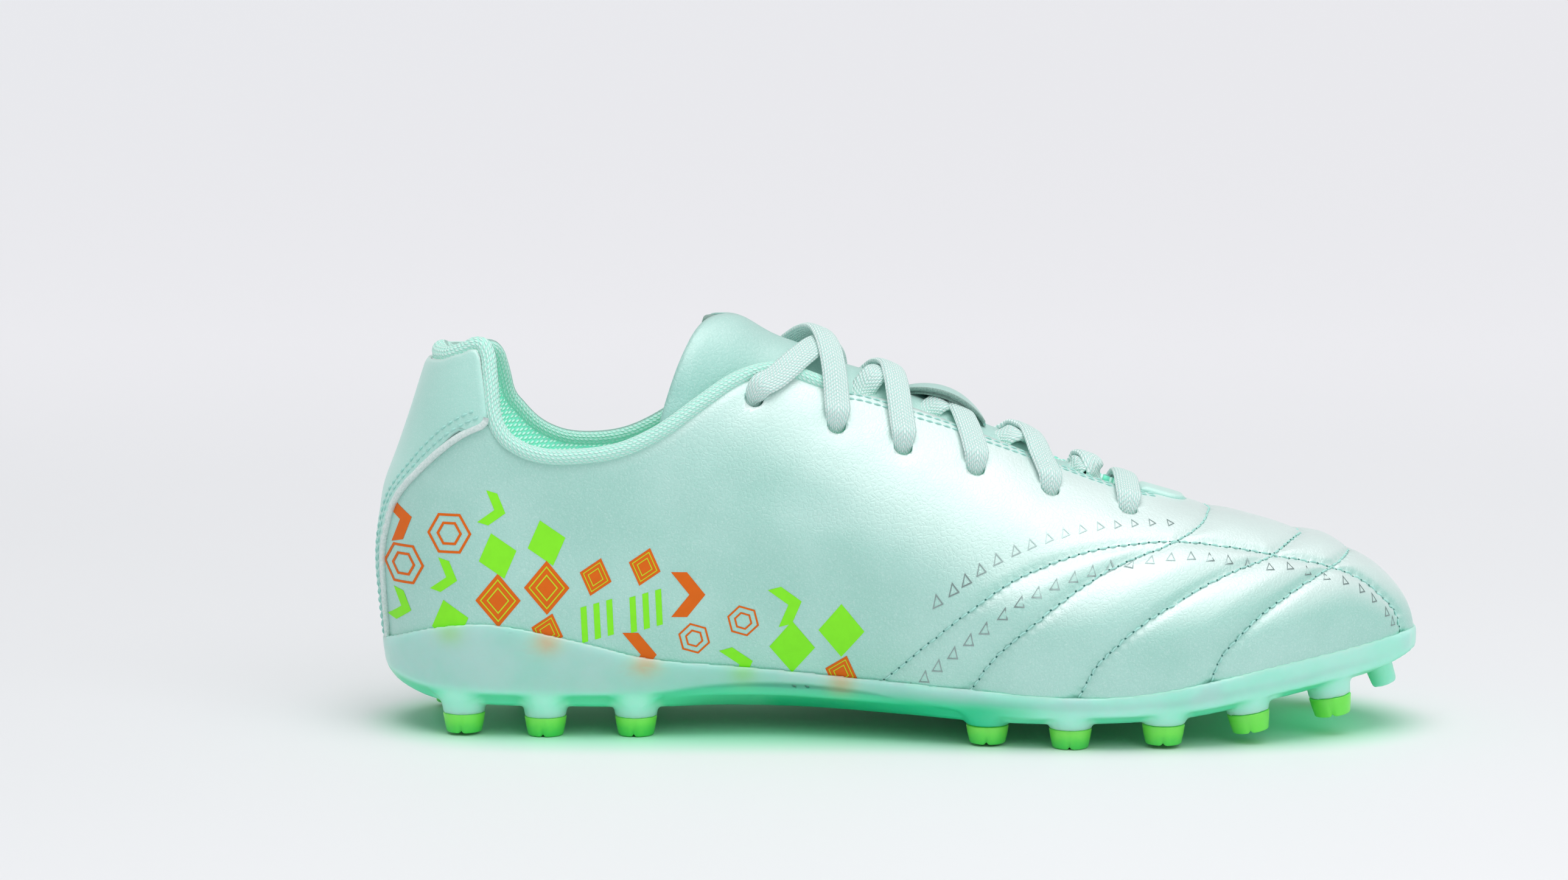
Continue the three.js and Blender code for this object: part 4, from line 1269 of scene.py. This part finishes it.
def tip_pieces():
    radius = STUD_WIDTH / 2
    sides = 48
    for name, at, side, lift in STUDS:
        _, joint = stud_joint(at, lift)
        top = joint + 0.12
        low = radius * STUD_TAPER
        profile = [
            [low - 1.6, 0.0], [low - 0.75, 0.0], [low - 0.3, 0.1], [low - 0.05, 0.35],
            [low, 0.75], [(low + radius) / 2, top / 2], [radius - 0.02, top - 0.3],
            [radius - 0.12, top - 0.08], [radius - 0.4, top],
        ]
        points, faces = lathe(profile, sides)
        turn = np.arctan2(points[:, 1], points[:, 0])
        groove = bell(np.angle(np.exp(1j * (turn + side * -np.pi / 2 + 0.12))), 0.10)
        edge = smooth(2.6, 0.0, points[:, 2])
        points[:, :2] *= (1 - groove * (0.035 + 0.10 * edge))[:, None]
        points[:, 2] += groove * 0.55 * smooth(1.0, 0.0, points[:, 2])
        placed = stud_place(points, at, lift, stud_centre(at, side, STUD_WIDTH))
        piece = make_object(f"tip_{name}", placed, faces, [LOOKS["tip"]])
        dress(piece, [f"stud_tip_{name}"])


tip_pieces()


# Heel overlay: from the cup to the collar, and how far its top edge follows the collar
OVERLAY_LOW = 0.10
OVERLAY_FRONT = 0.604
OVERLAY_HIGH = 0.688
OVERLAY_TOP = 0.69
OVERLAY_COLLAR = 0.078


def overlay_grid(rows, columns):
    """A grid over the heel overlay: rows from the cup to the collar, columns round it."""
    share = np.linspace(0, 1, rows)[:, None]
    round_ = np.linspace(-1, 1, columns)[None, :]
    t_flat = OVERLAY_LOW + (OVERLAY_HIGH - OVERLAY_LOW) * share
    reach = COUNTER("at", np.broadcast_to(t_flat, (rows, columns)))
    at = reach * np.abs(round_) ** 1.7
    side = np.broadcast_to(np.where(round_ < 0, -1, 1), at.shape)
    collar = top_edge(np.minimum(at, OVERLAY_COLLAR), side)
    top = np.where(at < OVERLAY_COLLAR, collar, OVERLAY_TOP)
    t = t_flat * (top / OVERLAY_TOP)
    return at, side, np.minimum(t, top_edge(at, side) + 0.001)


def counter_piece():
    rows, columns = 120, 129
    at, side, t = overlay_grid(rows, columns)
    points = last_point(at, side, t).reshape(-1, 3)
    faces = grid_faces(rows, columns)
    normals = -vertex_normals(points, faces)
    faces = faces[:, ::-1]
    row = np.repeat(np.arange(rows), columns)
    column = np.tile(np.arange(columns), rows)
    to_side = np.minimum(column, columns - 1 - column)
    edge = np.minimum(smooth(-1, 2.2, to_side), smooth(-1, 2, rows - 1 - row))
    out = COUNTER_SINK + (COUNTER_OUT - COUNTER_SINK) * (0.45 + 0.55 * edge)
    lump = 0.25 * np.sin(points[:, 2] * 0.21) * np.sin(points[:, 1] * 0.16 + 0.8)
    outer = points + normals * (out + lump * edge)[:, None]
    under = points + normals * -0.3
    all_faces = sheet_faces(faces, rows, columns)
    slots = np.arange(len(all_faces)) >= 2 * len(faces)
    piece = make_object(
        "heel_overlay", np.concatenate([outer, under]), all_faces,
        [LOOKS["counter"], LOOKS["raw_edge"]], slots,
    )
    tidy_mesh(piece)
    dress(piece, ["heel_counter"])
    return piece


counter = counter_piece()


# Knitted roll round the collar
def collar_path(at, side, up, out):
    rim = last_point(at, side, top_edge(at, side))
    step = 0.004
    along = unit(
        last_point(at + step, side, top_edge(at + step, side))
        - last_point(np.maximum(at - step, 0), side, top_edge(np.maximum(at - step, 0), side))
    )
    normal = last_normal(at, side, top_edge(at, side))
    above = unit(np.cross(along, normal) * side)
    return rim + above * up + normal * out, normal


def roll_piece():
    one = stations()
    one = one[(one > 0.0035) & (one <= ROLL_END)]
    heel = last_point(0.0, -1, top_edge(0.0, -1))
    tucked = smooth(30, 12, one * LAST_LENGTH)[:, None]
    inner, normal_in = collar_path(one, -1, 1.15 + 0.4 * tucked, -0.75 - 1.9 * tucked)
    outer, normal_out = collar_path(one, 1, 1.15 + 0.4 * tucked, -0.75 - 1.9 * tucked)
    back = heel + [2.7, 0, 1.5]
    knots = np.concatenate([inner[::-1], [back], outer])
    normals = np.concatenate([normal_in[::-1], [[-1.0, 0, 0.2]], normal_out])
    path = spline(np.column_stack([knots, normals]), 0.9)
    sides = 18
    size = ROLL_RADIUS * (1 + 0.35 * smooth(34, 12, path[:, 0]))
    end = np.minimum(np.arange(len(path)), np.arange(len(path))[::-1])
    size = size * (0.35 + 0.65 * smooth(-1, 5, end))
    section = circle(sides)[None] * size[:, None, None]
    points, faces, uv = swept(path[:, :3], path[:, 3:6], section)
    v = np.tile(np.arange(sides) * 2 * np.pi / sides * ROLL_RADIUS, len(path))
    uv = np.stack([uv[:, 0], v], -1)
    piece = make_object("collar_roll", points, faces, [LOOKS["roll"]], uv=uv)
    tidy_mesh(piece)
    dress(piece, ["collar_binding"])


roll_piece()


# Tongue: leather over felt, padded, with a curved top edge
TONGUE_DEPTH = 3.1
TONGUE_DEPTH_PADDED = 0.9
TONGUE_FLARE = 1.8
TONGUE_WAVE = 0.35


def tongue_surface(across, share, deep):
    """Points under the throat; across runs -1..1 between the edges, share from top to toe."""
    across, share = np.broadcast_arrays(across, share)
    low_end = THROAT_END + 9 / LAST_LENGTH
    side = np.where(across < 0, -1, 1)
    wide = np.abs(across)
    back = 0.340 - 0.078 * wide**0.75 + 0.034 * smooth(0.12, 0.55, across)
    at = back + (low_end - back) * share
    edge = np.minimum(0.93, top_edge(np.maximum(at, 0.3), side)) - 0.12
    t = 1 - wide * (1 - edge)
    open_part = smooth(THROAT_END - 0.02, THROAT_END - 0.10, at)
    puff = np.maximum(0, 1 - (1.5 * wide) ** 2) * open_part
    flare = smooth(0.16, 0.0, share) * TONGUE_FLARE
    sink = TONGUE_DEPTH + (TONGUE_DEPTH_PADDED - TONGUE_DEPTH) * puff - flare
    waves = TONGUE_WAVE * np.sin(at * 95) * np.exp(-((wide * 2.2) ** 2)) * open_part
    base = last_point(at, side, t)
    depth = sink - waves + deep
    return base - last_normal(at, side, t) * depth[..., None]


def tongue_piece():
    rows, columns = 110, 61
    share, across = np.broadcast_arrays(
        np.linspace(0, 1, rows)[:, None], np.linspace(-1, 1, columns)[None, :],
    )
    edge = np.minimum(smooth(-0.01, 0.03, share), smooth(-0.04, 0.06, 1 - np.abs(across)))
    shown = (0.016 * smooth(-0.30, 0.05, across) - 0.006) * smooth(0.2, 0.0, share)
    layers = [
        tongue_surface(across, share, 0.9 * (1 - edge)),
        tongue_surface(across, share, TONGUE_LEATHER),
        tongue_surface(across, share - shown, TONGUE_LEATHER),
        tongue_surface(across, share - shown, TONGUE_WALL),
    ]
    count = rows * columns
    faces = sheet_faces(grid_faces(rows, columns), rows, columns)
    felt = faces + 2 * count
    spread = across.reshape(-1)[faces[:, 0] % count]
    down = share.reshape(-1)[faces[:, 0] % count]
    backing = (spread > -0.2) | (down > 0.12)
    slots = np.concatenate([np.zeros(len(faces)), backing.astype(float)])
    points = np.concatenate([layer.reshape(-1, 3) for layer in layers])
    piece = make_object(
        "tongue_pad", points, np.concatenate([faces, felt]),
        [LOOKS["tongue"], LOOKS["felt"]], slots,
    )
    tidy_mesh(piece)
    dress(piece, ["tongue"])


tongue_piece()


# Insole
def insole_piece():
    inner, outer = outline_sides(-(UPPER_WALL + 0.3))
    rows = 25
    share = np.linspace(0, 1, rows)[:, None, None]
    top = inner[None] * (1 - share) + outer[None] * share
    dish = 1.2 * (2 * share[..., 0] - 1) ** 4
    top[..., 2] += UPPER_WALL + 0.4 + INSOLE_THICKNESS + dish
    points = top.reshape(-1, 3)
    under = points - [0, 0, INSOLE_THICKNESS]
    piece = make_object(
        "insole_board", np.concatenate([points, under]),
        sheet_faces(grid_faces(rows, len(inner)), rows, len(inner)), [LOOKS["insole"]],
    )
    tidy_mesh(piece)
    dress(piece, ["insole"])


insole_piece()


# Laces. One crossing runs under the keeper on the tongue.
KEEPER_PASS = 2
KEEPER_DROP = 2.3
LACE_SINK = 4.6
# Width left where a lace enters an eyelet or slips under the edge of the throat
EYELET_PINCH = 0.66
TUCK_PINCH = 0.95
# How late each pass's upper and lower strands lean towards their ends
LACE_LEAN = [(1.9, 2.6), (1.3, 1.0), (1.2, 1.0), (1.0, 1.0), (1.0, 1.0)]


def lace_section():
    """A flat braid's section, with rounded edges."""
    x, z = circle(16).T
    x = np.sign(x) * np.abs(x) ** 0.75 * LACE_WIDTH / 2
    z = np.sign(z) * np.abs(z) ** 0.85 * LACE_THICKNESS / 2
    return np.stack([x, z], -1)


def lace_piece(name, runs, nodes):
    """One pass of the lace. A run is a list of (at, side, t, height over the last)."""
    parts = Parts()
    base = lace_section()
    for run in runs:
        rows = []
        for at, side, t, height in run:
            p = last_point(at, side, t)
            n = last_normal(at, side, t)
            rows.append(np.concatenate([p + n * height, n]))
        path = spline(np.array(rows), 0.7)
        points = path[:, :3]
        count = len(points)
        index = np.arange(count)
        ends = [EYELET_PINCH if run[k][2] < 0.82 else TUCK_PINCH for k in (0, -1)]
        first = ends[0] + (1 - ends[0]) * smooth(2, 12, index)
        final = ends[1] + (1 - ends[1]) * smooth(2, 12, count - 1 - index)
        pinch = np.minimum(first, final)
        section = base[None] * np.stack([pinch, 1 + 0.35 * (1 - pinch)], -1)[:, None, :]
        tube, faces, uv = swept(points, unit(path[:, 3:6]), section)
        v = np.tile(base[:, 0], count)
        parts.add(tube, faces, np.stack([uv[:, 0], v], -1))
    dress(parts.build(name, [LOOKS["lace"]]), nodes)


def over_throat(start, end, lift, base=0.0, late=1.0):
    """A run from an eyelet or a tucked end over the crest to another."""
    at0, side0, t0, kind0 = start
    at1, side1, t1, kind1 = end
    h = 0.2 + LACE_THICKNESS / 2

    def place(share):
        across = 2 * share - 1
        side, edge = (side0, t0) if across < 0 else (side1, t1)
        return at0 + (at1 - at0) * share**late, side, 1 - abs(across) * (1 - edge)

    def end_points(share, kind):
        at, side, t = place(share)
        toward = 1 - 2 * share
        beside = place(share + 0.03 * toward)[0]
        further = place(share + 0.08 * toward)
        one = np.array([at, at]), np.array([side, side]), np.array([t, t + 0.01])
        mm = 0.01 / float(np.linalg.norm(np.diff(last_point(*one), axis=0)))
        if kind == "eyelet":
            return [
                (at, side, t - 0.4 * mm, -LACE_SINK),
                (at, side, t + 0.9 * mm, -1.0),
                (beside, side, t + 3.4 * mm, h + 0.15),
                (further[0], side, max(further[2], t + 5.8 * mm), h + 0.1),
            ]
        return [(at, side, t - 6 * mm, -LACE_SINK), (at, side, t + 1.2 * mm, -2.6)]

    run = end_points(0, kind0)
    for share in (0.25, 0.36, 0.5, 0.64, 0.75):
        at, side, t = place(share)
        centre = 1 - abs(2 * share - 1)
        bump = lift * max(0.0, 1 - (1.5 * (1 - centre)) ** 2)
        run.append((at, side, t, h + base * centre + bump))
    run += end_points(1, kind1)[::-1]
    return run


def laces():
    clear = (LACE_WIDTH + 0.6) / LAST_LENGTH
    last = len(EYELETS) - 1

    def eyelet(k, side):
        return (EYELETS[k][0], side, EYELETS[k][1], "eyelet")

    def tucked(k, side, shift):
        at = EYELETS[k][0] + shift
        return (at, side, float(top_edge(at, side)) + 0.02, "tucked")

    for k in range(last):
        first = [tucked(k + 1, s, -clear) if k + 1 == last else eyelet(k + 1, s) for s in (-1, 1)]
        goal = [eyelet(k, s) if k == 0 else tucked(k, s, clear) for s in (1, -1)]
        base = 1.6 if k == 0 else 0.0
        drop = KEEPER_DROP if k == KEEPER_PASS else 0.0
        over = over_throat(first[0], goal[0], 1.5 - drop, base, LACE_LEAN[k][0])
        under = over_throat(first[1], goal[1], -0.5 - drop, base, LACE_LEAN[k][1])
        lace_piece(f"lace_{k + 1}", [over, under], [f"lace_pass_{k + 1}"])
    bar = over_throat(eyelet(last, -1), eyelet(last, 1), 0.2)
    lace_piece(f"lace_{last + 1}", [bar], [f"lace_pass_{last + 1}"])


laces()


# Stitches
def stitch_row(parts, points, normals, pitch, radius, gap, holes=False):
    """Threads, and discs of painted shade at the needle holes, along a dense row of surface points.
    """
    run = run_length(points)
    ring = circle(6)
    count = int(run[-1] / pitch)

    def at_run(s):
        return np.stack([np.interp(s, run, points[:, i]) for i in range(3)], -1)

    def normal_at(s):
        return unit(np.stack([np.interp(s, run, normals[:, i]) for i in range(3)], -1))

    for k in range(count):
        start = k * pitch + gap / 2
        s = np.linspace(start, start + pitch - gap, 6)
        rise = radius * (-0.75 + 1.45 * np.sin(np.pi * np.linspace(0.04, 0.96, 6)))
        n = normal_at(s)
        path = at_run(s) + n * rise[:, None]
        size = radius * (0.55 + 0.45 * np.sin(np.pi * np.linspace(0.05, 0.95, 6)))
        tube, faces, _ = swept(path, n, ring[None] * size[:, None, None])
        parts.add(tube, faces)
        # A dark disc at each needle hole paints the shade inside it
        if holes:
            s = np.array([k * pitch])
            n = normal_at(s)[0]
            centre = at_run(s)[0] + n * 0.05
            ahead = unit(at_run(s + 0.3)[0] - at_run(s - 0.3)[0])
            beside = np.cross(n, ahead)
            disc = centre + ahead * ring[:, :1] * 0.36 + beside * ring[:, 1:] * radius * 0.95
            parts.add(disc, [list(range(6))], slot=1)


def seam_pieces():
    quilting = Parts()
    for knots in [VAMP_SEAM, *QUILT_SEAMS]:
        at, t = seam_on_last(knots, 0.8)
        for side in (-1, 1):
            points, normals = UPPER_SKIN.nearest(last_point(at, side, t))
            stitch_row(quilting, points, normals, STITCH_PITCH, 0.26, 0.45, holes=True)
    edging = Parts()
    at, t = seam_on_last(EYESTAY_SEAM, 0.8)
    for side in (-1, 1):
        for lower in (0.0, EYESTAY_ROWS_APART):
            points, normals = UPPER_SKIN.nearest(last_point(at, side, t - lower / SECTION_ARC))
            stitch_row(edging, points, normals, SEAM_PITCH, 0.27, 0.3)
    for name, parts in (("quilt_stitches", quilting), ("eyestay_stitches", edging)):
        piece = parts.build(name, [LOOKS["thread"], LOOKS["hole"]])
        dress(piece)


seam_pieces()


OVERLAY_SEARCH = 1.6


def overlay_edge(inset):
    """The overlay's front edge from the collar down to the cup, moved in by millimetres."""
    t = np.linspace(OVERLAY_FRONT, OVERLAY_LOW, 90)
    at = COUNTER("at", t)
    path = {}
    for side in (-1, 1):
        points = last_point(at, side, t)
        normals = last_normal(at, side, t)
        along = unit(np.gradient(points, axis=0))
        inward = unit(np.cross(normals, along)) * side
        path[side] = (points + inward * inset + normals * OVERLAY_SEARCH, normals)
    return path


def overlay_trim():
    stitches = Parts()
    for inset in (2.3, 4.3):
        for points, _ in overlay_edge(inset).values():
            places, normals = OVERLAY_SKIN.nearest(points)
            stitch_row(stitches, places, normals, 2.2, 0.3, 0.35)
    dress(stitches.build("overlay_stitches", [LOOKS["thread"]]))
    band = Parts()
    section = np.array([
        [-0.8, -0.9], [0.8, -0.9], [0.85, 0.1], [0.5, 0.45], [-0.5, 0.5], [-0.8, 0.2],
    ])
    for points, normals in overlay_edge(0.0).values():
        wave = 0.07 * np.sin(np.arange(len(points)) * 1.7)
        path = points + normals * (0.75 - OVERLAY_SEARCH + wave)[:, None]
        tube, faces, _ = swept(path, normals, section)
        band.add(tube, faces)
    dress(band.build("overlay_raw_edge", [LOOKS["raw_edge"]]))


OVERLAY_SKIN = Skin(counter)
overlay_trim()


# Printed shapes, laid on the leather as seen from the side, and how far they stand over it
PRINT_STEP = 0.8
PRINT_OUT = 0.07
PRINT_LINE_OUT = 0.11
MARK_OUT = 0.12


def turned(shape, x, z, size, turn):
    angle = math.radians(turn)
    c, s = math.cos(angle), math.sin(angle)
    return [(x + size * (a * c - b * s), z + size * (a * s + b * c)) for a, b in shape]


def inset_shape(shape, share):
    middle = np.mean(shape, axis=0)
    return [tuple(middle + (np.array(p) - middle) * share) for p in shape]


def lay_patch(parts, corners, slot, side, out):
    """Lays a three- or four-cornered flat shape on the upper."""
    a, b, c = (np.array(corners[i], float) for i in range(3))
    d = np.array(corners[3], float) if len(corners) == 4 else c
    length = max(np.linalg.norm(b - a), np.linalg.norm(c - d), 0.1)
    width = max(np.linalg.norm(d - a), np.linalg.norm(c - b), 0.1)
    m = max(1, math.ceil(length / PRINT_STEP))
    n = max(1, math.ceil(width / PRINT_STEP))
    grid = []
    for j in range(n + 1):
        left = a + (d - a) * j / n
        right = b + (c - b) * j / n
        for i in range(m + 1):
            x, z = left + (right - left) * i / m
            grid.append(UPPER_SKIN.seen(x, z, side, out))
    if any(g is None for g in grid):
        return
    faces = grid_faces(n + 1, m + 1)
    parts.add(np.array(grid), faces[:, ::-1] if side < 0 else faces, slot=slot)


def lay_outline(parts, shape, width, slot, side, out):
    inner = inset_shape(shape, 1 - width)
    for k in range(len(shape)):
        n = (k + 1) % len(shape)
        lay_patch(parts, [shape[k], shape[n], inner[n], inner[k]], slot, side, out)


KITE = [(0, -0.6), (0.5, 0), (0, 0.6), (-0.5, 0)]
HEXAGON = [(0.5 * math.cos(k * math.pi / 3), 0.5 * math.sin(k * math.pi / 3)) for k in range(6)]
CHEVRON = [
    [(-0.5, 0.5), (-0.1, 0), (0.25, 0), (-0.15, 0.5)],
    [(-0.1, 0), (-0.5, -0.5), (-0.15, -0.5), (0.25, 0)],
]
BARS = [
    [(k - 0.5, -0.45), (k - 0.34, -0.45), (k - 0.12, 0.45), (k - 0.28, 0.45)]
    for k in (0, 0.34, 0.68)
]


def print_pieces():
    parts = Parts()
    filled = {"nest": [KITE], "kite": [KITE], "chevron": CHEVRON, "bars": BARS, "ring": []}
    lines = {"nest": [(KITE, 0.80, 0.085), (KITE, 0.50, 0.14)]}
    rings = {"ring": [(HEXAGON, 1.0, 0.13), (HEXAGON, 0.58, 0.22)]}
    for side in (-1, 1):
        for motif, ink, x, z, size, turn in print_places():
            for shape in filled[motif]:
                lay_patch(parts, turned(shape, x, z, size, turn), ink, side, PRINT_OUT)
            for outlines, color, out in ((rings, ink, PRINT_OUT), (lines, LINE, PRINT_LINE_OUT)):
                for shape, share, width in outlines.get(motif, []):
                    placed = inset_shape(turned(shape, x, z, size, turn), share)
                    lay_outline(parts, placed, width, color, side, out)
    piece = parts.build("quarter_print", [LOOKS["lime"], LOOKS["orange"], LOOKS["line"]])
    dress(piece)


print_pieces()


def vamp_marks():
    """Two rows of small triangle outlines beside the long vamp seam."""
    parts = Parts()
    at, t = seam_on_last(VAMP_SEAM, 0.5)
    for side in (-1, 1):
        line = last_point(at, side, t)
        run = run_length(line)
        along = unit(np.gradient(line, axis=0))
        normal = last_normal(at, side, t)
        above = np.cross(along, normal) * side
        rows = (
            (6.6, 30, 96, 4.4, 4.0, [(-0.30, -0.5), (0.38, -0.12), (-0.16, 0.5)]),
            (-5.4, 9, 166, 5.3, 3.7, [(-0.40, -0.5), (0.40, -0.46), (0.14, 0.5)]),
        )
        for shift, start, end, pitch, size, shape in rows:
            inner = inset_shape(shape, 0.70)
            for s in np.arange(start, end, pitch):
                pick = int(np.searchsorted(run, s))
                small = size * (1 - 0.3 * (s - start) / (end - start))
                centre = line[pick] + above[pick] * shift * (1 - 0.25 * (s > 120))
                place, face = UPPER_SKIN.nearest(centre)
                up = unit(np.array([0.05, 0, 1.0]) - face[0] * face[0][2])
                across = unit(np.cross(up, face[0])) * -side
                corners = [place[0] + small * (across * a + up * b) for a, b in [*shape, *inner]]
                corners, _ = UPPER_SKIN.nearest(corners, MARK_OUT)
                parts.add(corners, [[0, 1, 4, 3], [1, 2, 5, 4], [2, 0, 3, 5]])
    dress(parts.build("vamp_marks", [LOOKS["silver"]]))


vamp_marks()


# Patch at the throat's end, and the slit that keeps the lace on the tongue
PATCH_BACK, PATCH_FRONT = 0.735, 0.781
KEEPER_BACK, KEEPER_FRONT = 0.512, 0.588


def throat_patch():
    length = np.linspace(PATCH_BACK, PATCH_FRONT, 22)
    at, a = np.meshgrid(length, np.linspace(-1, 1, 25), indexing="ij")
    share = (at - PATCH_BACK) / (PATCH_FRONT - PATCH_BACK)
    wide = 0.062 * np.sqrt(np.clip(1 - np.clip((share - 0.55) / 0.45, 0, 1) ** 2, 0.02, 1))
    side = np.where(a < 0, -1, 1)
    t = 1 - np.abs(a) * wide
    to_ends = np.minimum(share, 1 - share)
    edge = np.minimum(smooth(0.0, 0.15, 1 - np.abs(a)), smooth(0.0, 0.12, to_ends))
    points = last_point(at, side, t) + last_normal(at, side, t) * (0.15 + 0.75 * edge)[..., None]
    under = last_point(at, side, t) - last_normal(at, side, t) * 0.6
    piece = make_object(
        "throat_patch", np.concatenate([points.reshape(-1, 3), under.reshape(-1, 3)]),
        sheet_faces(grid_faces(*at.shape), *at.shape), [LOOKS["counter"]],
    )
    tidy_mesh(piece)
    dress(piece)
    skin = Skin(piece)
    turn = np.linspace(0.06, 0.94, 60) * np.pi
    path_at = 0.742 + 0.034 * np.sin(turn)
    path_a = -np.cos(turn) * 0.046
    line = last_point(path_at, np.where(path_a < 0, -1, 1), 1 - np.abs(path_a))
    stitches = Parts()
    points, normals = skin.nearest(line)
    stitch_row(stitches, points, normals, 1.7, 0.24, 0.3)
    dress(stitches.build("patch_stitches", [LOOKS["raw_edge"]]))


throat_patch()


def lace_keeper():
    """A raised bridge of tongue leather between two slits, over one lace crossing."""
    length = np.linspace(KEEPER_BACK, KEEPER_FRONT, 34)
    at, a = np.meshgrid(length, np.linspace(-1, 1, 31), indexing="ij")
    share = (at - KEEPER_BACK) / (KEEPER_FRONT - KEEPER_BACK)
    bulge = np.sin(np.pi * share) ** 0.8
    side = np.where(a < 0, -1, 1)
    t = 1 - np.abs(a) * (0.052 + 0.014 * bulge)
    lift = -1.2 + 3.8 * bulge
    base = last_point(at, side, t)
    normal = last_normal(at, side, t)
    layers = [base + normal * (lift + up)[..., None] for up in (0.7, -0.2, -0.2, -1.0)]
    faces = sheet_faces(grid_faces(*at.shape), *at.shape)
    slots = np.concatenate([np.zeros(len(faces)), np.ones(len(faces))])
    piece = make_object(
        "lace_keeper", np.concatenate([layer.reshape(-1, 3) for layer in layers]),
        np.concatenate([faces, faces + 2 * at.size]), [LOOKS["tongue"], LOOKS["felt"]], slots,
    )
    tidy_mesh(piece)
    dress(piece)
    # A dark sheet under the bridge paints the shade in the slits
    slit = base - normal * 0.75
    shade = make_object(
        "keeper_shade", slit[2:-2, 1:-1].reshape(-1, 3),
        grid_faces(at.shape[0] - 4, at.shape[1] - 2), [LOOKS["hole"]],
    )
    dress(shade)
    rim = base[1:-1, 1] + normal[1:-1, 1] * (lift[1:-1, 1] + 0.5)[:, None]
    section = np.array([[-0.3, -0.55], [0.45, -0.45], [0.5, 0.3], [-0.2, 0.4]])
    tube, faces, _ = swept(rim, normal[1:-1, 1], section)
    border = Parts()
    border.add(tube, faces)
    dress(border.build("keeper_rim", [LOOKS["felt"]]))


lace_keeper()


# Stage: floor, lights and the world around
FLOOR_BEND = 0.035


def add_stage():
    """A floor that rises gently far behind, so that no horizon shows."""
    run = np.concatenate([[-6.0, 0.8], np.linspace(1.0, 4.0, 25), [14.0]])
    bent = np.clip(run - 1.0, 0, 3.0)
    rise = FLOOR_BEND * (bent**2 + 2 * bent * np.clip(run - 4.0, 0, None))
    points = [(x, y, z) for y, z in zip(run, rise) for x in (-9.0, 9.0)]
    faces = [(2 * i, 2 * i + 1, 2 * i + 3, 2 * i + 2) for i in range(len(run) - 1)]
    mesh = bpy.data.meshes.new("floor")
    mesh.from_pydata(points, [], faces)
    mesh.polygons.foreach_set("use_smooth", [True] * len(faces))
    look = Look("pale_floor", linear(230, 231, 233), 0.6, Specular_IOR_Level=0.3)
    cloud = look.noise(look.place(), 3.0, 2.0)
    tint = look.mix(cloud, linear(228, 230, 232), linear(232, 233, 235))
    along = look.node("ShaderNodeSeparateXYZ", {"Vector": look.place()})
    far = look.math("SUBTRACT", along.outputs["Y"], look.math("MULTIPLY", along.outputs["X"], 1.2))
    tint = look.mix(look.ramp(along.outputs["Y"], 0.05, 1.2), tint, linear(247, 247, 250))
    tint = look.mix(look.ramp(far, 1.6, 7.0), tint, linear(245, 247, 250))
    # Painted light and shadow: the floor turns green in an oval under the shoe, as light through
    # the cloudy sole colours it
    wide = look.math("POWER", look.math("DIVIDE", along.outputs["X"], 0.140), 6.0)
    deep = look.math("POWER", look.math("DIVIDE", along.outputs["Y"], 0.052), 2.0)
    under = look.ramp(look.math("ADD", wide, deep), 1.0, 0.1)
    tint = look.mix(under, tint, linear(168, 236, 205))
    mesh.materials.append(look.use(Base_Color=tint))
    add_object("floor", mesh)
    world = bpy.data.worlds.new("room")
    bpy.context.scene.world = world
    world.use_nodes = True
    tree = world.node_tree
    sky = tree.nodes["Background"]
    place = tree.nodes.new("ShaderNodeTexCoord")
    split = tree.nodes.new("ShaderNodeSeparateXYZ")
    fade = tree.nodes.new("ShaderNodeValToRGB")
    tree.links.new(place.outputs["Generated"], split.inputs[0])
    tree.links.new(split.outputs["Z"], fade.inputs[0])
    tree.links.new(fade.outputs[0], sky.inputs["Color"])
    fade.color_ramp.elements[0].position = 0.0
    fade.color_ramp.elements[0].color = (0.88, 0.88, 0.90, 1)
    fade.color_ramp.elements[1].position = 0.35
    fade.color_ramp.elements[1].color = (0.45, 0.45, 0.46, 1)
    sky.inputs["Strength"].default_value = 1.0


def add_light(name, place, toward, size, power, color=(1, 1, 1), shown=True):
    lamp = bpy.data.lights.new(name, "AREA")
    lamp.shape = "RECTANGLE"
    lamp.size, lamp.size_y = size
    lamp.energy = power
    lamp.color = color
    obj = add_object(name, lamp)
    obj.location = place
    obj.rotation_euler = (Vector(toward) - Vector(place)).to_track_quat("-Z", "Y").to_euler()
    obj.visible_camera = shown


def add_sun(name, toward, strength, angle):
    lamp = bpy.data.lights.new(name, "SUN")
    lamp.energy = strength
    lamp.angle = math.radians(angle)
    obj = add_object(name, lamp)
    obj.rotation_euler = Vector(toward).to_track_quat("-Z", "Y").to_euler()


add_stage()
add_sun("overhead", (0.0, 0.12, -1.0), 1.38, 50)
add_light("top_box", (0.10, -0.25, 0.80), (0.0, 0.0, 0.05), (0.9, 0.4), 1.1)
add_light("front_box", (0.55, -0.85, 0.80), (0.05, 0.0, 0.05), (1.0, 0.7), 2.9)
# Green light under the shoe, as comes through the cloudy sole
add_light(
    "sole_glow", (0.0, 0.0, 0.0115), (0.0, 0.0, 0.0), (0.235, 0.05), 0.010,
    color=(0.12, 1.0, 0.55), shown=False,
)
bpy.context.scene.view_settings.view_transform = "Standard"
